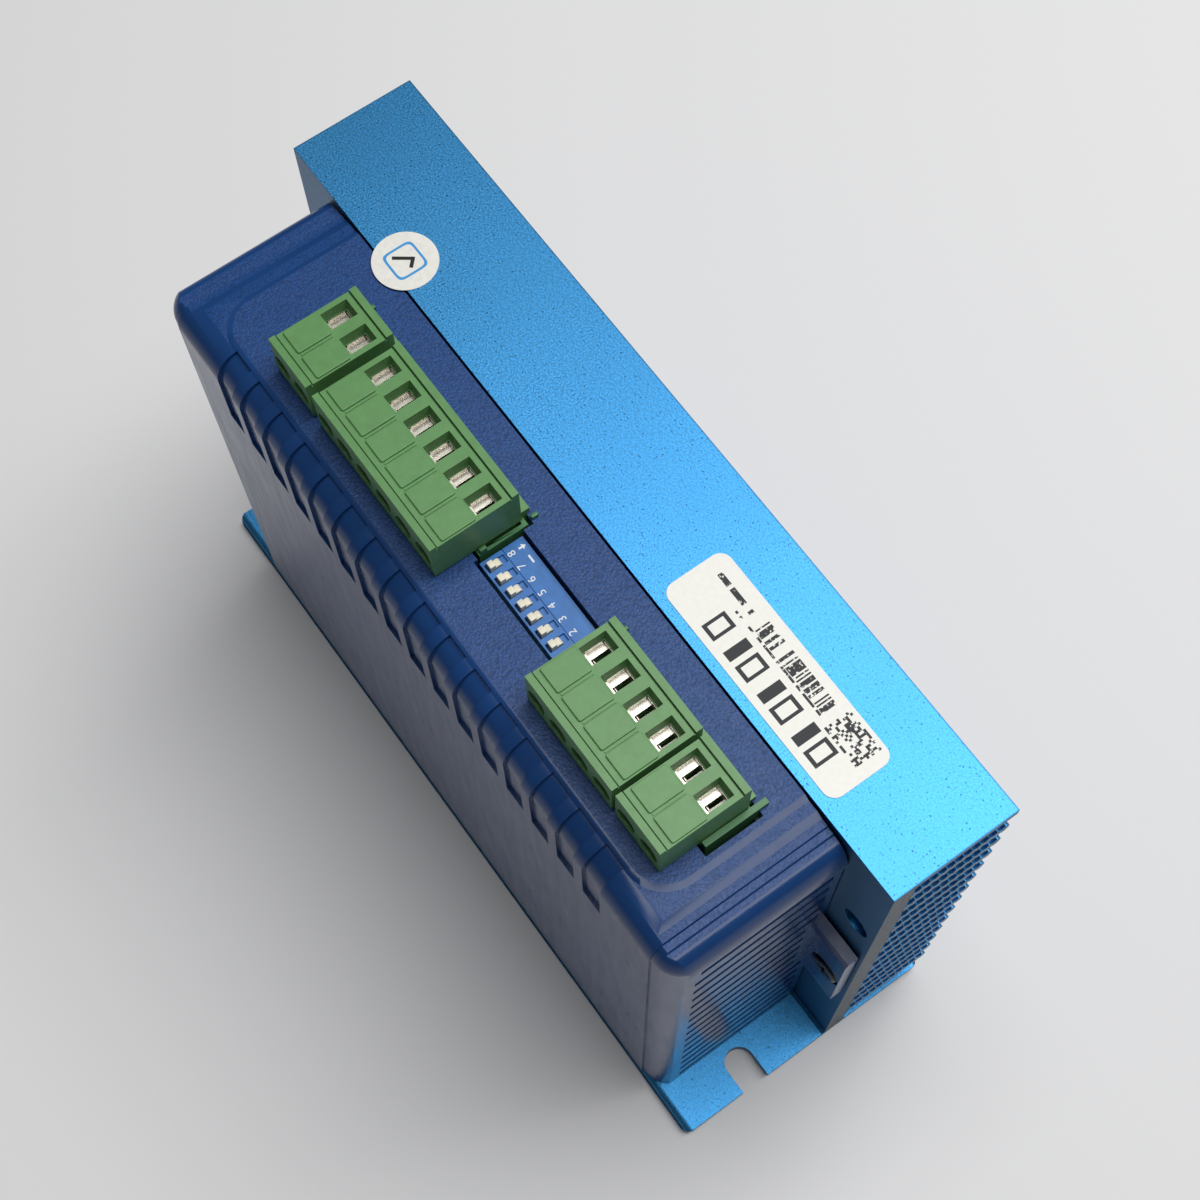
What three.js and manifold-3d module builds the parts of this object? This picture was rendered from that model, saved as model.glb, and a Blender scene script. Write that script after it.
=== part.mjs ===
// Closed-loop style stepper motor driver: finned aluminium heat sink, moulded cover,
// pluggable screw terminals, eight-way switch and the parts inside.
// Millimetres. +X along the length, +Y towards the fins, +Z towards the terminals.
// The origin is the centre of the foot plate's underside.
import * as THREE from 'three';
import { mergeVertices } from 'three/addons/utils/BufferGeometryUtils.js';
import Module from 'manifold-3d';

const wasm = await Module();
wasm.setup();

// ---- heat sink -------------------------------------------------------------
const LENGTH = 150;            // whole length along X
const WIDTH = 53;              // whole width along Y
const FRONT_Z = 97.5;          // front strip's face
const FOOT_T = 2.5;            // foot plate thickness
const WEB_Y = 4.5;             // web's inner face
const WEB_T = 4;               // web thickness
const FLANGE_T = 1.75;         // front strip thickness
const FIN_COUNT = 13;
const FIN_TOP_Z = 90.5;        // centre height of the highest fin
const FIN_PITCH = 6.65;
const FIN_TIP_Y = 26.25;
const FIN_HALF = 0.65;         // fin half thickness in the valleys
const RIB_H = 0.5;             // rib height on both sides of a fin
const RIB_COUNT = 12;
const SLOT_Y = -11.1;          // mounting slot centre
const SLOT_R = 2.75;
const SLOT_DEPTH = 7.5;
const SIDE_HOLE = { x: 71.1, z: 72.7, r: 2.6 };
const EAR_SCREW = { x: 71, z: 48.75 };

// ---- cover -----------------------------------------------------------------
const COVER_HALF = 66.4;       // half length
const COVER_Y0 = -26.3;
const COVER_Y1 = 4.2;
const COVER_Z0 = 2.8;
const COVER_Z1 = 97.2;
const WALL = 2;
const EDGE_R = 4.75;           // long rounded edge
const CORNER_R = 3.6;          // upright corners
const BAY_COUNT = 16;
const BAY_PITCH = 6.35;
const BAY_W = 4.2;
const BAY_DEPTH = 0.55;
const BAY_LOW_Z = 81.5;
const LOUVRE_COUNT = 16;
const LOUVRE_PITCH = 5.37;
const LOUVRE_LOW_Z = 5.9;
const LOUVRE_H = 1.3;
const EAR = { out: 74.3, z0: 37.6, z1: 60.2, t: 2.4 };

// ---- terminals -------------------------------------------------------------
const PITCH = 5.08;
const PLUG_Y0 = -18.7;
const PLUG_Y1 = -3.5;
const PLUG_Z0 = 97.6;
const PLUG_Z1 = 106.3;
const TONGUE_Z0 = 90;
const HEADER_Y0 = -11.6;
const HEADER_Y1 = -2.9;
const HEADER_Z0 = 88;
const HEADER_Z1 = 96.8;
const PIN_Y = -7.25;
const WIRE_Y = -8.05;          // wire entry centre
const CLAMP_Z = 101.3;         // clamp screw axis height
const TERMINALS = [
  { tag: 'a', poles: 2, x0: -43.02 },
  { tag: 'b', poles: 6, x0: -31.34 },
  { tag: 'c', poles: 4, x0: 22.04 },
  { tag: 'd', poles: 2, x0: 43.01 },
];

// ---- switch ----------------------------------------------------------------
const DIP = { x0: 0.5, x1: 21.1, y0: -12.1, y1: -4.5, z0: 92.5, z1: 96 };
const DIP_COUNT = 8;
const DIP_PITCH = 2.54;

// ---- colours ---------------------------------------------------------------
function look(color, roughness, metalness) {
  return new THREE.MeshStandardMaterial({ color, roughness, metalness });
}
const ANODISED = look(0x3f9fe0, 0.42, 0.75);
const COVER_BLUE = look(0x1b3470, 0.45, 0);
const PLUG_GREEN = look(0x67a262, 0.5, 0);
const HEADER_GREEN = look(0x2c6a3c, 0.5, 0);
const NICKEL = look(0xc3bdb0, 0.28, 1);
const SCREW_STEEL = look(0x8f8b84, 0.35, 1);
const BLACK_STEEL = look(0x1b1b1d, 0.4, 0.8);
const DIP_BLUE = look(0x2766bd, 0.42, 0);
const IVORY = look(0xe8e4cf, 0.5, 0);
const PAPER = look(0xfbfaf4, 0.6, 0);
const BOARD = look(0x1d5a35, 0.45, 0);
const CAN = look(0x23262c, 0.4, 0.1);
const EPOXY = look(0x1a1a1c, 0.55, 0);
const PAD_GREY = look(0xb9bcc0, 0.8, 0);
const COPPER = look(0xa8622f, 0.4, 0.6);

// ---- shape helpers ---------------------------------------------------------
function box(x0, x1, y0, y1, z0, z1) {
  const g = new THREE.BoxGeometry(x1 - x0, y1 - y0, z1 - z0);
  return g.translate((x0 + x1) / 2, (y0 + y1) / 2, (z0 + z1) / 2);
}

function extrude(points, depth) {
  const shape = new THREE.Shape(points.map(([a, b]) => new THREE.Vector2(a, b)));
  return new THREE.ExtrudeGeometry(shape, { depth, bevelEnabled: false });
}

const AXES = {
  x: [new THREE.Vector3(0, 1, 0), new THREE.Vector3(0, 0, 1), new THREE.Vector3(1, 0, 0)],
  y: [new THREE.Vector3(0, 0, 1), new THREE.Vector3(1, 0, 0), new THREE.Vector3(0, 1, 0)],
  z: [new THREE.Vector3(1, 0, 0), new THREE.Vector3(0, 1, 0), new THREE.Vector3(0, 0, 1)],
};

// A prism along an axis. Points are (y, z) for x, (z, x) for y and (x, y) for z.
function prism(axis, points, from, to) {
  const g = extrude(points, to - from);
  const m = new THREE.Matrix4().makeBasis(...AXES[axis]);
  g.translate(0, 0, from);
  return g.applyMatrix4(m);
}

function ring(a, b, r, sides, turn = 0) {
  const out = [];
  for (let i = 0; i < sides; i += 1) {
    const t = turn + (2 * Math.PI * i) / sides;
    out.push([a + r * Math.cos(t), b + r * Math.sin(t)]);
  }
  return out;
}

function rod(axis, a, b, r, from, to, sides = 16) {
  return prism(axis, ring(a, b, r, sides, Math.PI / sides), from, to);
}

// A rounded rectangle; radii in the order low-low, high-low, high-high, low-high.
function rounded(a0, a1, b0, b1, radii, steps = 5) {
  const [r0, r1, r2, r3] = radii;
  const corners = [
    [a0 + r0, b0 + r0, r0, Math.PI],
    [a1 - r1, b0 + r1, r1, 1.5 * Math.PI],
    [a1 - r2, b1 - r2, r2, 0],
    [a0 + r3, b1 - r3, r3, 0.5 * Math.PI],
  ];
  const out = [];
  for (const [a, b, r, start] of corners) {
    const n = r > 0 ? steps : 0;
    for (let i = 0; i <= n; i += 1) {
      const t = start + (n ? (i / n) * 0.5 * Math.PI : 0);
      out.push([a + r * Math.cos(t), b + r * Math.sin(t)]);
    }
  }
  return out;
}

function solid(geometry) {
  const g = geometry.clone();
  g.deleteAttribute('normal');
  g.deleteAttribute('uv');
  const merged = mergeVertices(g, 1e-5);
  return new wasm.Manifold(new wasm.Mesh({
    numProp: 3,
    vertProperties: new Float32Array(merged.attributes.position.array),
    triVerts: new Uint32Array(merged.index.array),
  }));
}

function join(parts) {
  return parts.map(solid).reduce((a, b) => a.add(b));
}

function cut(base, tools) {
  return tools.length ? base.subtract(join(tools)) : base;
}

const root = new THREE.Group();

function add(name, shape, material) {
  let geometry = shape;
  if (!shape.isBufferGeometry) {
    const m = shape.getMesh();
    geometry = new THREE.BufferGeometry();
    geometry.setAttribute('position', new THREE.BufferAttribute(m.vertProperties, 3));
    geometry.setIndex(new THREE.BufferAttribute(m.triVerts, 1));
    geometry.computeVertexNormals();
  }
  const mesh = new THREE.Mesh(geometry, material);
  mesh.name = name;
  root.add(mesh);
  return mesh;
}

// ---- heat sink -------------------------------------------------------------
function finSide(z, side) {
  const web = WEB_Y + WEB_T;
  const step = (FIN_TIP_Y - web) / RIB_COUNT;
  const out = [];
  for (let i = 0; i < RIB_COUNT; i += 1) {
    const y = web + i * step;
    out.push([y + 0.04 * step, z + side * FIN_HALF]);
    out.push([y + 0.52 * step, z + side * (FIN_HALF + RIB_H)]);
  }
  out.push([FIN_TIP_Y, z + side * FIN_HALF]);
  return out;
}

function sinkProfile() {
  const half = WIDTH / 2;
  const web = WEB_Y + WEB_T;
  const out = [[-half, 0], [half, 0], [half, FOOT_T], [web, FOOT_T]];
  for (let k = FIN_COUNT - 1; k >= 0; k -= 1) {
    const z = FIN_TOP_Z - k * FIN_PITCH;
    out.push(...finSide(z, -1));
    out.push(...finSide(z, 1).reverse());
  }
  out.push([web, FRONT_Z - FLANGE_T], [half, FRONT_Z - FLANGE_T], [half, FRONT_Z]);
  out.push([WEB_Y, FRONT_Z], [WEB_Y, FOOT_T], [-half, FOOT_T]);
  return out;
}

function heatSink() {
  const half = LENGTH / 2;
  const tools = [];
  for (const s of [-1, 1]) {
    const inner = s * (half - SLOT_DEPTH + SLOT_R);
    const ends = [inner, s * (half + 1)].sort((a, b) => a - b);
    tools.push(box(ends[0], ends[1], SLOT_Y - SLOT_R, SLOT_Y + SLOT_R, -1, FOOT_T + 1));
    tools.push(prism('z', ring(inner, SLOT_Y, SLOT_R, 20, Math.PI / 2), -1, FOOT_T + 1));
    tools.push(rod('y', SIDE_HOLE.z, s * SIDE_HOLE.x, SIDE_HOLE.r, WEB_Y - 1, WEB_Y + WEB_T + 0.5, 20));
    tools.push(rod('y', EAR_SCREW.z, s * EAR_SCREW.x, 1.6, WEB_Y - 1, WEB_Y + WEB_T + 0.6, 12));
    for (const y of [-1, 1]) {
      const r = 1.6;
      const cx = s * (half - r);
      const cy = y * (WIDTH / 2 - r);
      const square = box(Math.min(cx, s * (half + 1)), Math.max(cx, s * (half + 1)),
        Math.min(cy, y * (WIDTH / 2 + 1)), Math.max(cy, y * (WIDTH / 2 + 1)), -1, FOOT_T + 1);
      tools.push(solid(square).subtract(solid(rod('z', cx, cy, r, -2, FOOT_T + 2, 16))));
    }
  }
  let body = solid(prism('x', sinkProfile(), -half, half));
  for (const t of tools) {
    body = body.subtract(t.isBufferGeometry ? solid(t) : t);
  }
  return body;
}
add('heat_sink', heatSink(), ANODISED);

// ---- cover -----------------------------------------------------------------
function coverLengthProfile() {
  const right = [
    [56, COVER_Z1], [57, COVER_Z1 - 0.5], [58.6, COVER_Z1 - 0.5], [59.9, COVER_Z1 - 1],
    [61.1, COVER_Z1 - 1], [61.25, COVER_Z1 - 1.3], [62.45, COVER_Z1 - 1.3], [62.6, COVER_Z1 - 1.6],
    [64.3, COVER_Z1 - 1.7], [65.5, COVER_Z1 - 2.2], [66.15, COVER_Z1 - 3.1], [COVER_HALF, COVER_Z1 - 4.4],
    [COVER_HALF, COVER_Z0],
  ];
  const left = right.map(([x, z]) => [-x, z]).reverse();
  return left.concat(right).map(([x, z]) => [z, x]);
}

function bayTool(x) {
  const inner = rounded(COVER_Y0 + BAY_DEPTH, 20, -20, COVER_Z1 - BAY_DEPTH, [0, 0, 0, EDGE_R], 6);
  const half = BAY_W / 2;
  const keep = box(x - half, x + half, COVER_Y0 - 2, COVER_Y0 + EDGE_R - 0.3, BAY_LOW_Z, COVER_Z1 + 2);
  return solid(keep).subtract(solid(prism('x', inner, x - half - 1, x + half + 1)));
}

function cover() {
  const outer = [
    prism('x', rounded(COVER_Y0, COVER_Y1, COVER_Z0, COVER_Z1, [0, 0, 0, EDGE_R], 6), -70, 70),
    prism('z', rounded(-COVER_HALF, COVER_HALF, COVER_Y0, COVER_Y1, [CORNER_R, CORNER_R, 0, 0]), 0, 120),
    prism('y', coverLengthProfile(), COVER_Y0 - 1, COVER_Y1 + 1),
  ].map(solid).reduce((a, b) => a.intersect(b));
  const inX = COVER_HALF - WALL;
  const cavity = solid(prism('x', rounded(COVER_Y0 + WALL, COVER_Y1 + 1, COVER_Z0 - 1,
    COVER_Z1 - WALL - 0.6, [0, 0, 0, EDGE_R - WALL], 3), -inX, inX));
  let body = outer.subtract(cavity);
  const tools = [
    box(-44.2, 0.35, -12.2, -2.3, 80, 110),
    box(0.3, 21, -12.9, -4.1, 80, 110),
    box(20.95, 54.6, -12.2, -2.3, 80, 110),
  ];
  for (const s of [-1, 1]) {
    const face = [s * (COVER_HALF - 0.45), s * (COVER_HALF + 1)].sort((a, b) => a - b);
    tools.push(prism('x', rounded(COVER_Y0 + 3.9, COVER_Y1 + 1, COVER_Z0 - 1, 90.6, [0, 0, 0, 5]),
      face[0], face[1]));
    const through = [s * (inX - 1), s * (COVER_HALF + 1)].sort((a, b) => a - b);
    for (let i = 0; i < LOUVRE_COUNT; i += 1) {
      const z = LOUVRE_LOW_Z + i * LOUVRE_PITCH;
      const near = i === LOUVRE_COUNT - 1 ? -20.6 : -21.6;
      const far = z > EAR.z0 - 2 && z < EAR.z1 + 2 ? EAR.t * -1 + COVER_Y1 - 1 : 2.6;
      tools.push(box(through[0], through[1], near, far, z - LOUVRE_H / 2, z + LOUVRE_H / 2));
    }
  }
  body = cut(body, tools);
  for (let i = 0; i < BAY_COUNT; i += 1) {
    body = body.subtract(bayTool((i - (BAY_COUNT - 1) / 2) * BAY_PITCH));
  }
  for (const s of [-1, 1]) {
    const y1 = COVER_Y1;
    const y0 = COVER_Y1 - EAR.t;
    const span = [s * (COVER_HALF - WALL + 0.2), s * EAR.out].sort((a, b) => a - b);
    const tab = solid(prism('x', [[y1, EAR.z0], [y1, EAR.z1 + 1.2], [y0, EAR.z1], [y0, EAR.z0]],
      span[0], span[1]));
    const hole = [
      rod('y', EAR_SCREW.z, s * EAR_SCREW.x, 1.7, y0 - 1, y1 + 1, 16),
      rod('y', EAR_SCREW.z, s * EAR_SCREW.x, 2.8, y0 - 1, y1 - 1.1, 20),
    ];
    body = cut(body.add(tab), hole);
  }
  return body;
}
add('cover', cover(), COVER_BLUE);

function coverScrew(s) {
  const y0 = COVER_Y1 - 1.1;
  const head = rod('y', EAR_SCREW.z, s * EAR_SCREW.x, 2.5, y0 - 1.7, y0, 16);
  const shank = rod('y', EAR_SCREW.z, s * EAR_SCREW.x, 1.4, y0 - 0.2, WEB_Y + 3.6, 12);
  const recess = [
    box(s * EAR_SCREW.x - 1.3, s * EAR_SCREW.x + 1.3, y0 - 2, y0 - 0.9, EAR_SCREW.z - 0.3, EAR_SCREW.z + 0.3),
    box(s * EAR_SCREW.x - 0.3, s * EAR_SCREW.x + 0.3, y0 - 2, y0 - 0.9, EAR_SCREW.z - 1.3, EAR_SCREW.z + 1.3),
  ];
  return cut(join([head, shank]), recess);
}
add('cover_screw_left', coverScrew(-1), BLACK_STEEL);
add('cover_screw_right', coverScrew(1), BLACK_STEEL);

// ---- terminals -------------------------------------------------------------
function poleXs(t) {
  return Array.from({ length: t.poles }, (_, i) => t.x0 + (i + 0.5) * PITCH);
}

function headerBody(t) {
  const x0 = t.x0 - 0.7;
  const x1 = t.x0 + t.poles * PITCH + (t.tag === 'c' ? 0.15 : 0.7);
  const low = t.tag === 'd' ? t.x0 - 0.15 : x0;
  const shell = solid(box(low, x1, HEADER_Y0, HEADER_Y1, HEADER_Z0, HEADER_Z1));
  const room = box(t.x0 - (t.tag === 'd' ? -0.35 : 0), t.x0 + t.poles * PITCH - (t.tag === 'c' ? 0.35 : 0),
    HEADER_Y0 + 0.8, HEADER_Y1 - 0.8, HEADER_Z0 + 1.6, HEADER_Z1 + 1);
  let body = cut(shell, [room]);
  for (const x of poleXs(t)) {
    const pin = prism('x', [
      [PIN_Y - 0.45, HEADER_Z0 - 1.2], [-0.7, HEADER_Z0 - 1.2], [-0.7, HEADER_Z0 - 0.3],
      [PIN_Y + 0.45, HEADER_Z0 - 0.3], [PIN_Y + 0.45, 95.2], [PIN_Y - 0.45, 95.2],
    ], x - 0.45, x + 0.45);
    body = body.add(solid(pin));
  }
  return body;
}

function funnel(x) {
  const g = new THREE.CylinderGeometry(1, 0.8, 2, 4, 1);
  g.rotateY(Math.PI / 4);
  g.rotateX(Math.PI / 2);
  g.scale(3.1 / 2 / Math.SQRT1_2, 4.5 / 2 / Math.SQRT1_2, 1);
  return g.translate(x, WIRE_Y, PLUG_Z1 - 0.95);
}

function plugBody(t) {
  const x0 = t.x0 + 0.08;
  const x1 = t.x0 + t.poles * PITCH - 0.08;
  const tongue = t.tag === 'c' ? [x0 + 0.2, x1 - 0.6] : [x0 + (t.tag === 'd' ? 0.6 : 0.2), x1 - 0.2];
  const blocks = [
    box(x0, x1, PLUG_Y0, PLUG_Y1, PLUG_Z0, PLUG_Z1 - 0.35),
    box(tongue[0], tongue[1], HEADER_Y0 + 1, HEADER_Y1 - 1, TONGUE_Z0, PLUG_Z0 + 1),
    box(x0, x1, PLUG_Y0 + 1.25, PLUG_Y1 - 1.35, PLUG_Z1 - 1, PLUG_Z1 - 0.2),
    box(x0, x1, PLUG_Y0, PLUG_Y0 + 1, PLUG_Z1 - 1, PLUG_Z1 - 0.05),
    box(x0, x1, PLUG_Y1 - 1.15, PLUG_Y1, PLUG_Z1 - 1, PLUG_Z1),
  ];
  const tools = [];
  for (const x of poleXs(t)) {
    blocks.push(box(x - 2.05, x + 1.85, PLUG_Y0 + 2.2, WIRE_Y - 2.6, PLUG_Z1 - 1, PLUG_Z1));
    tools.push(funnel(x));
    tools.push(box(x - 1.25, x + 1.25, WIRE_Y - 1.8, WIRE_Y + 1.8, CLAMP_Z, PLUG_Z1 - 1));
    tools.push(box(x - 2.1, x + 2.1, -13.6, -5.3, CLAMP_Z - 2.6, CLAMP_Z + 2.6));
    tools.push(rod('y', CLAMP_Z, x, 1.95, PLUG_Y0 - 1, -15.4, 16));
    tools.push(rod('y', CLAMP_Z, x, 1.4, -15.6, -13.4, 12));
    tools.push(box(x - 0.85, x + 0.85, PIN_Y - 0.85, PIN_Y + 0.85, TONGUE_Z0 - 1, CLAMP_Z));
  }
  return cut(join(blocks), tools);
}

function clampScrew(x) {
  const head = rod('y', CLAMP_Z, x, 1.75, -17.5, -15.75, 16);
  const shank = rod('y', CLAMP_Z, x, 1.1, -15.8, -9.75, 12);
  const slot = box(x - 2.5, x + 2.5, -18, -16.8, CLAMP_Z - 0.3, CLAMP_Z + 0.3);
  return cut(join([head, shank]), [slot]);
}

function clampCage(x) {
  const outer = solid(box(x - 1.9, x + 1.9, -10.6, -5.65, CLAMP_Z - 2.2, CLAMP_Z + 2.2));
  return cut(outer, [
    box(x - 1.4, x + 1.4, -9.5, -6.35, CLAMP_Z - 4, CLAMP_Z + 4),
    rod('y', CLAMP_Z, x, 1.3, -11, -9, 12),
  ]);
}

for (const t of TERMINALS) {
  add(`header_${t.tag}`, headerBody(t), HEADER_GREEN);
  add(`plug_${t.tag}`, plugBody(t), PLUG_GREEN);
  poleXs(t).forEach((x, i) => {
    add(`clamp_screw_${t.tag}${i + 1}`, clampScrew(x), SCREW_STEEL);
    add(`clamp_cage_${t.tag}${i + 1}`, clampCage(x), NICKEL);
  });
}

// ---- switch ----------------------------------------------------------------
const dipMid = (DIP.x0 + DIP.x1) / 2;
const dipXs = Array.from({ length: DIP_COUNT }, (_, i) => dipMid + (i - (DIP_COUNT - 1) / 2) * DIP_PITCH);

function dipBody() {
  const base = solid(box(DIP.x0, DIP.x1, DIP.y0, DIP.y1, DIP.z0, DIP.z1));
  const tools = dipXs.map((x) => box(x - 0.8, x + 0.8, -11.6, -8.7, DIP.z0 + 1.4, DIP.z1 + 1));
  tools.push(box(DIP.x0 - 1, DIP.x1 + 1, -8.6, -8.35, DIP.z1 - 0.2, DIP.z1 + 1));
  return cut(base, tools);
}

function dipSlider(x) {
  return prism('x', [
    [-11.45, DIP.z0 + 1.6], [-9.65, DIP.z0 + 1.6], [-9.65, 95.9], [-9.8, 96.2], [-10.1, 96.3],
    [-10.4, 96.15], [-10.5, 97], [-11.35, 97], [-11.45, 96.9],
  ], x - 0.6, x + 0.6);
}
add('dip_body', dipBody(), DIP_BLUE);
dipXs.forEach((x, i) => add(`dip_slider_${DIP_COUNT - i}`, dipSlider(x), IVORY));
add('dip_board', box(0.4, 21.1, -14, -3.2, 90.6, 92.2), BOARD);

// ---- boards and power parts ------------------------------------------------
function mainBoard() {
  const board = solid(box(-60, 60, HEADER_Y1, HEADER_Y1 + 1.6, 6, 94.5));
  const tools = [box(0.2, 21.2, HEADER_Y1 - 1, HEADER_Y1 + 3, 88.5, 96)];
  for (const t of TERMINALS) {
    for (const x of poleXs(t)) {
      tools.push(box(x - 0.6, x + 0.6, HEADER_Y1 - 1, HEADER_Y1 + 3, HEADER_Z0 - 1.4, HEADER_Z0 - 0.1));
    }
  }
  return cut(board, tools);
}
add('main_board', mainBoard(), BOARD);

function capacitor(x, z) {
  const lathe = new THREE.LatheGeometry([
    [0, 0], [8.6, 0], [9, 0.5], [9, 1.8], [8.5, 2.3], [9, 2.8], [9, 19.5], [8.5, 20], [0, 20],
  ].map(([r, h]) => new THREE.Vector2(r, h)), 24);
  lathe.rotateX(Math.PI);
  return solid(lathe.translate(x, HEADER_Y1 - 0.3, z));
}
add('capacitor_left', capacitor(-28, 60), CAN);
add('capacitor_right', capacitor(-6, 60), CAN);

function powerPackage(x) {
  const body = box(x - 15, x + 15, -0.9, 3.9, 20, 42);
  const leads = Array.from({ length: 9 }, (_, i) => box(x - 12.3 + i * 3, x - 11.7 + i * 3, 1, 1.6, 15, 20.5));
  const feet = Array.from({ length: 9 }, (_, i) => box(x - 12.3 + i * 3, x - 11.7 + i * 3, -1, 1.6, 14.4, 15.2));
  return join([body, ...leads, ...feet]);
}
add('power_package_left', powerPackage(-24), EPOXY);
add('power_package_right', powerPackage(24), EPOXY);
add('thermal_pad', box(-44, 44, 4, 4.4, 17, 46), PAD_GREY);

function choke() {
  const torus = new THREE.TorusGeometry(7.2, 3.1, 8, 20);
  torus.rotateX(Math.PI / 2);
  return solid(torus.translate(28, HEADER_Y1 - 3.6, 62));
}
add('dc_choke', choke(), COPPER);

// ---- labels ----------------------------------------------------------------
add('type_label', prism('z', rounded(19.8, 59.2, 6.2, 17.4, [2, 2, 2, 2], 4), FRONT_Z, FRONT_Z + 0.125), PAPER);
add('round_sticker', prism('z', ring(-47.4, 7.2, 5.25, 32), FRONT_Z, FRONT_Z + 0.125), PAPER);

export default root;
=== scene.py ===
"""Visual model of a stepper motor driver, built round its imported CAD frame."""
import math

import bmesh
import bpy
from mathutils import Matrix, Vector


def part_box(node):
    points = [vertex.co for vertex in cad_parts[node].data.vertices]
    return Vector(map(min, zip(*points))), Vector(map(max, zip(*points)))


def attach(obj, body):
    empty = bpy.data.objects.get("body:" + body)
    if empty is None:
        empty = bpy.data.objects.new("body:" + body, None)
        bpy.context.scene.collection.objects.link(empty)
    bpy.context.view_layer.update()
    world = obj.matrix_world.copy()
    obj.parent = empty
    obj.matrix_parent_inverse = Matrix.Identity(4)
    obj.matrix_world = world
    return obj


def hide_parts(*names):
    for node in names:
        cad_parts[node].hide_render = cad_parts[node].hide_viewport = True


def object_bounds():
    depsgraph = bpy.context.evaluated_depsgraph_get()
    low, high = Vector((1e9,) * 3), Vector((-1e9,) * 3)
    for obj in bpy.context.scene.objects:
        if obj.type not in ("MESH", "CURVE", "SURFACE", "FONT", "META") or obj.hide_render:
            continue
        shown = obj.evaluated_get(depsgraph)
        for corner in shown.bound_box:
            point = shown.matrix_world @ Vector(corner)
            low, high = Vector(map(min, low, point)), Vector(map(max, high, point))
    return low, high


bl_info = {
    "name": "Stepper Driver Module",
    "version": (1, 0, 0),
    "blender": (4, 5, 0),
    "location": "View3D > Sidebar > Driver",
    "description": "Builds a finned stepper driver with pluggable terminals and a switch block",
    "category": "Object",
}

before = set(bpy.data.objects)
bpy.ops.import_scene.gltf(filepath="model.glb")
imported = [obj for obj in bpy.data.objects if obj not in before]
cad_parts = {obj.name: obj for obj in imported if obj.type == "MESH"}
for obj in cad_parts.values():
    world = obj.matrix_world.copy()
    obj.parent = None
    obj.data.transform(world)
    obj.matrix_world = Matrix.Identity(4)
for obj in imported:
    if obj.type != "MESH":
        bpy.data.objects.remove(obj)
CAD_LOW, CAD_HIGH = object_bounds()

MM = 0.001
SHELL = "housing"
SINK_LOW, SINK_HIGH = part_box("heat_sink")
COVER_LOW, COVER_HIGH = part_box("cover")
DIP_LOW, DIP_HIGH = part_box("dip_body")
PLUG_TAGS = ("a", "b", "c", "d")

EAR_SCREW_X, EAR_SCREW_Z = 71.0 * MM, 48.75 * MM  # in the web and in the cover's ears


# ---- sizes and colours a user would change ---------------------------------------------
def length(name, description, default):
    """A distance setting in metres."""
    return bpy.props.FloatProperty(
        name=name, description=description, default=default, min=0.0, max=1.0,
        precision=5, unit="LENGTH", subtype="DISTANCE")


def count(name, description, default):
    """A whole number setting."""
    return bpy.props.IntProperty(name=name, description=description, default=default, min=1)


def colour(name, description, default):
    """A colour setting."""
    return bpy.props.FloatVectorProperty(
        name=name, description=description, default=default, size=3, min=0.0, max=1.0,
        subtype="COLOR")


class DriverSinkSizes(bpy.types.PropertyGroup):
    """Sizes of the heat sink."""

    foot: length("Foot thickness", "Thickness of the slotted foot plate", 2.5 * MM)
    web: length("Web thickness", "Thickness of the upright web", 4.0 * MM)
    strip: length("Strip thickness", "Thickness of the front strip", 1.75 * MM)
    slot_radius: length("Slot radius", "Half width of the open foot slots", 2.75 * MM)
    slot_depth: length("Slot depth", "Depth of the open foot slots", 7.5 * MM)
    hole_radius: length("Side hole radius", "Radius of the hole in each end of the web", 2.6 * MM)
    fins: count("Fins", "Number of fins", 13)
    fin_pitch: length("Fin pitch", "Distance from fin to fin", 6.65 * MM)
    fin_core: length("Fin core", "Half thickness of a fin between its ribs", 0.5 * MM)
    rib: length("Rib height", "Height of the ribs along a fin", 0.95 * MM)
    edge: length("Edge break", "Rounding of the extrusion's edges", 0.2 * MM)


class DriverCoverSizes(bpy.types.PropertyGroup):
    """Sizes of the moulded cover."""

    reach: length("Half length", "Distance from the middle to an end face", 66.4 * MM)
    wall: length("Wall", "Thickness of the cover's walls", 2.0 * MM)
    edge: length("Long edge radius", "Radius of the long edge and the upright corners", 4.6 * MM)
    bays: count("Bays", "Number of bays", 16)
    bay: length("Bay width", "Width of one shallow bay", 4.2 * MM)
    bay_pitch: length("Bay pitch", "Distance from bay to bay", 6.35 * MM)
    bay_depth: length("Bay depth", "Depth of a bay", 0.55 * MM)
    louvres: count("Louvres", "Number of louvres at each end", 16)
    louvre: length("Louvre height", "Height of one louvre slot", 1.9 * MM)
    louvre_pitch: length("Louvre pitch", "Distance from louvre to louvre", 5.37 * MM)
    edge_break: length("Edge break", "Rounding of the small edges", 0.14 * MM)


class DriverTerminalSizes(bpy.types.PropertyGroup):
    """Sizes of the plugs and headers."""

    pitch: length("Pole pitch", "Distance from pole to pole", 5.08 * MM)
    groove: length("Groove width", "Width of the two grooves along a plug", 0.25 * MM)
    pad_height: length("Pad height", "Height of the marking pads", 0.38 * MM)
    edge_break: length("Edge break", "Rounding of a plug's edges", 0.12 * MM)


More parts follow.
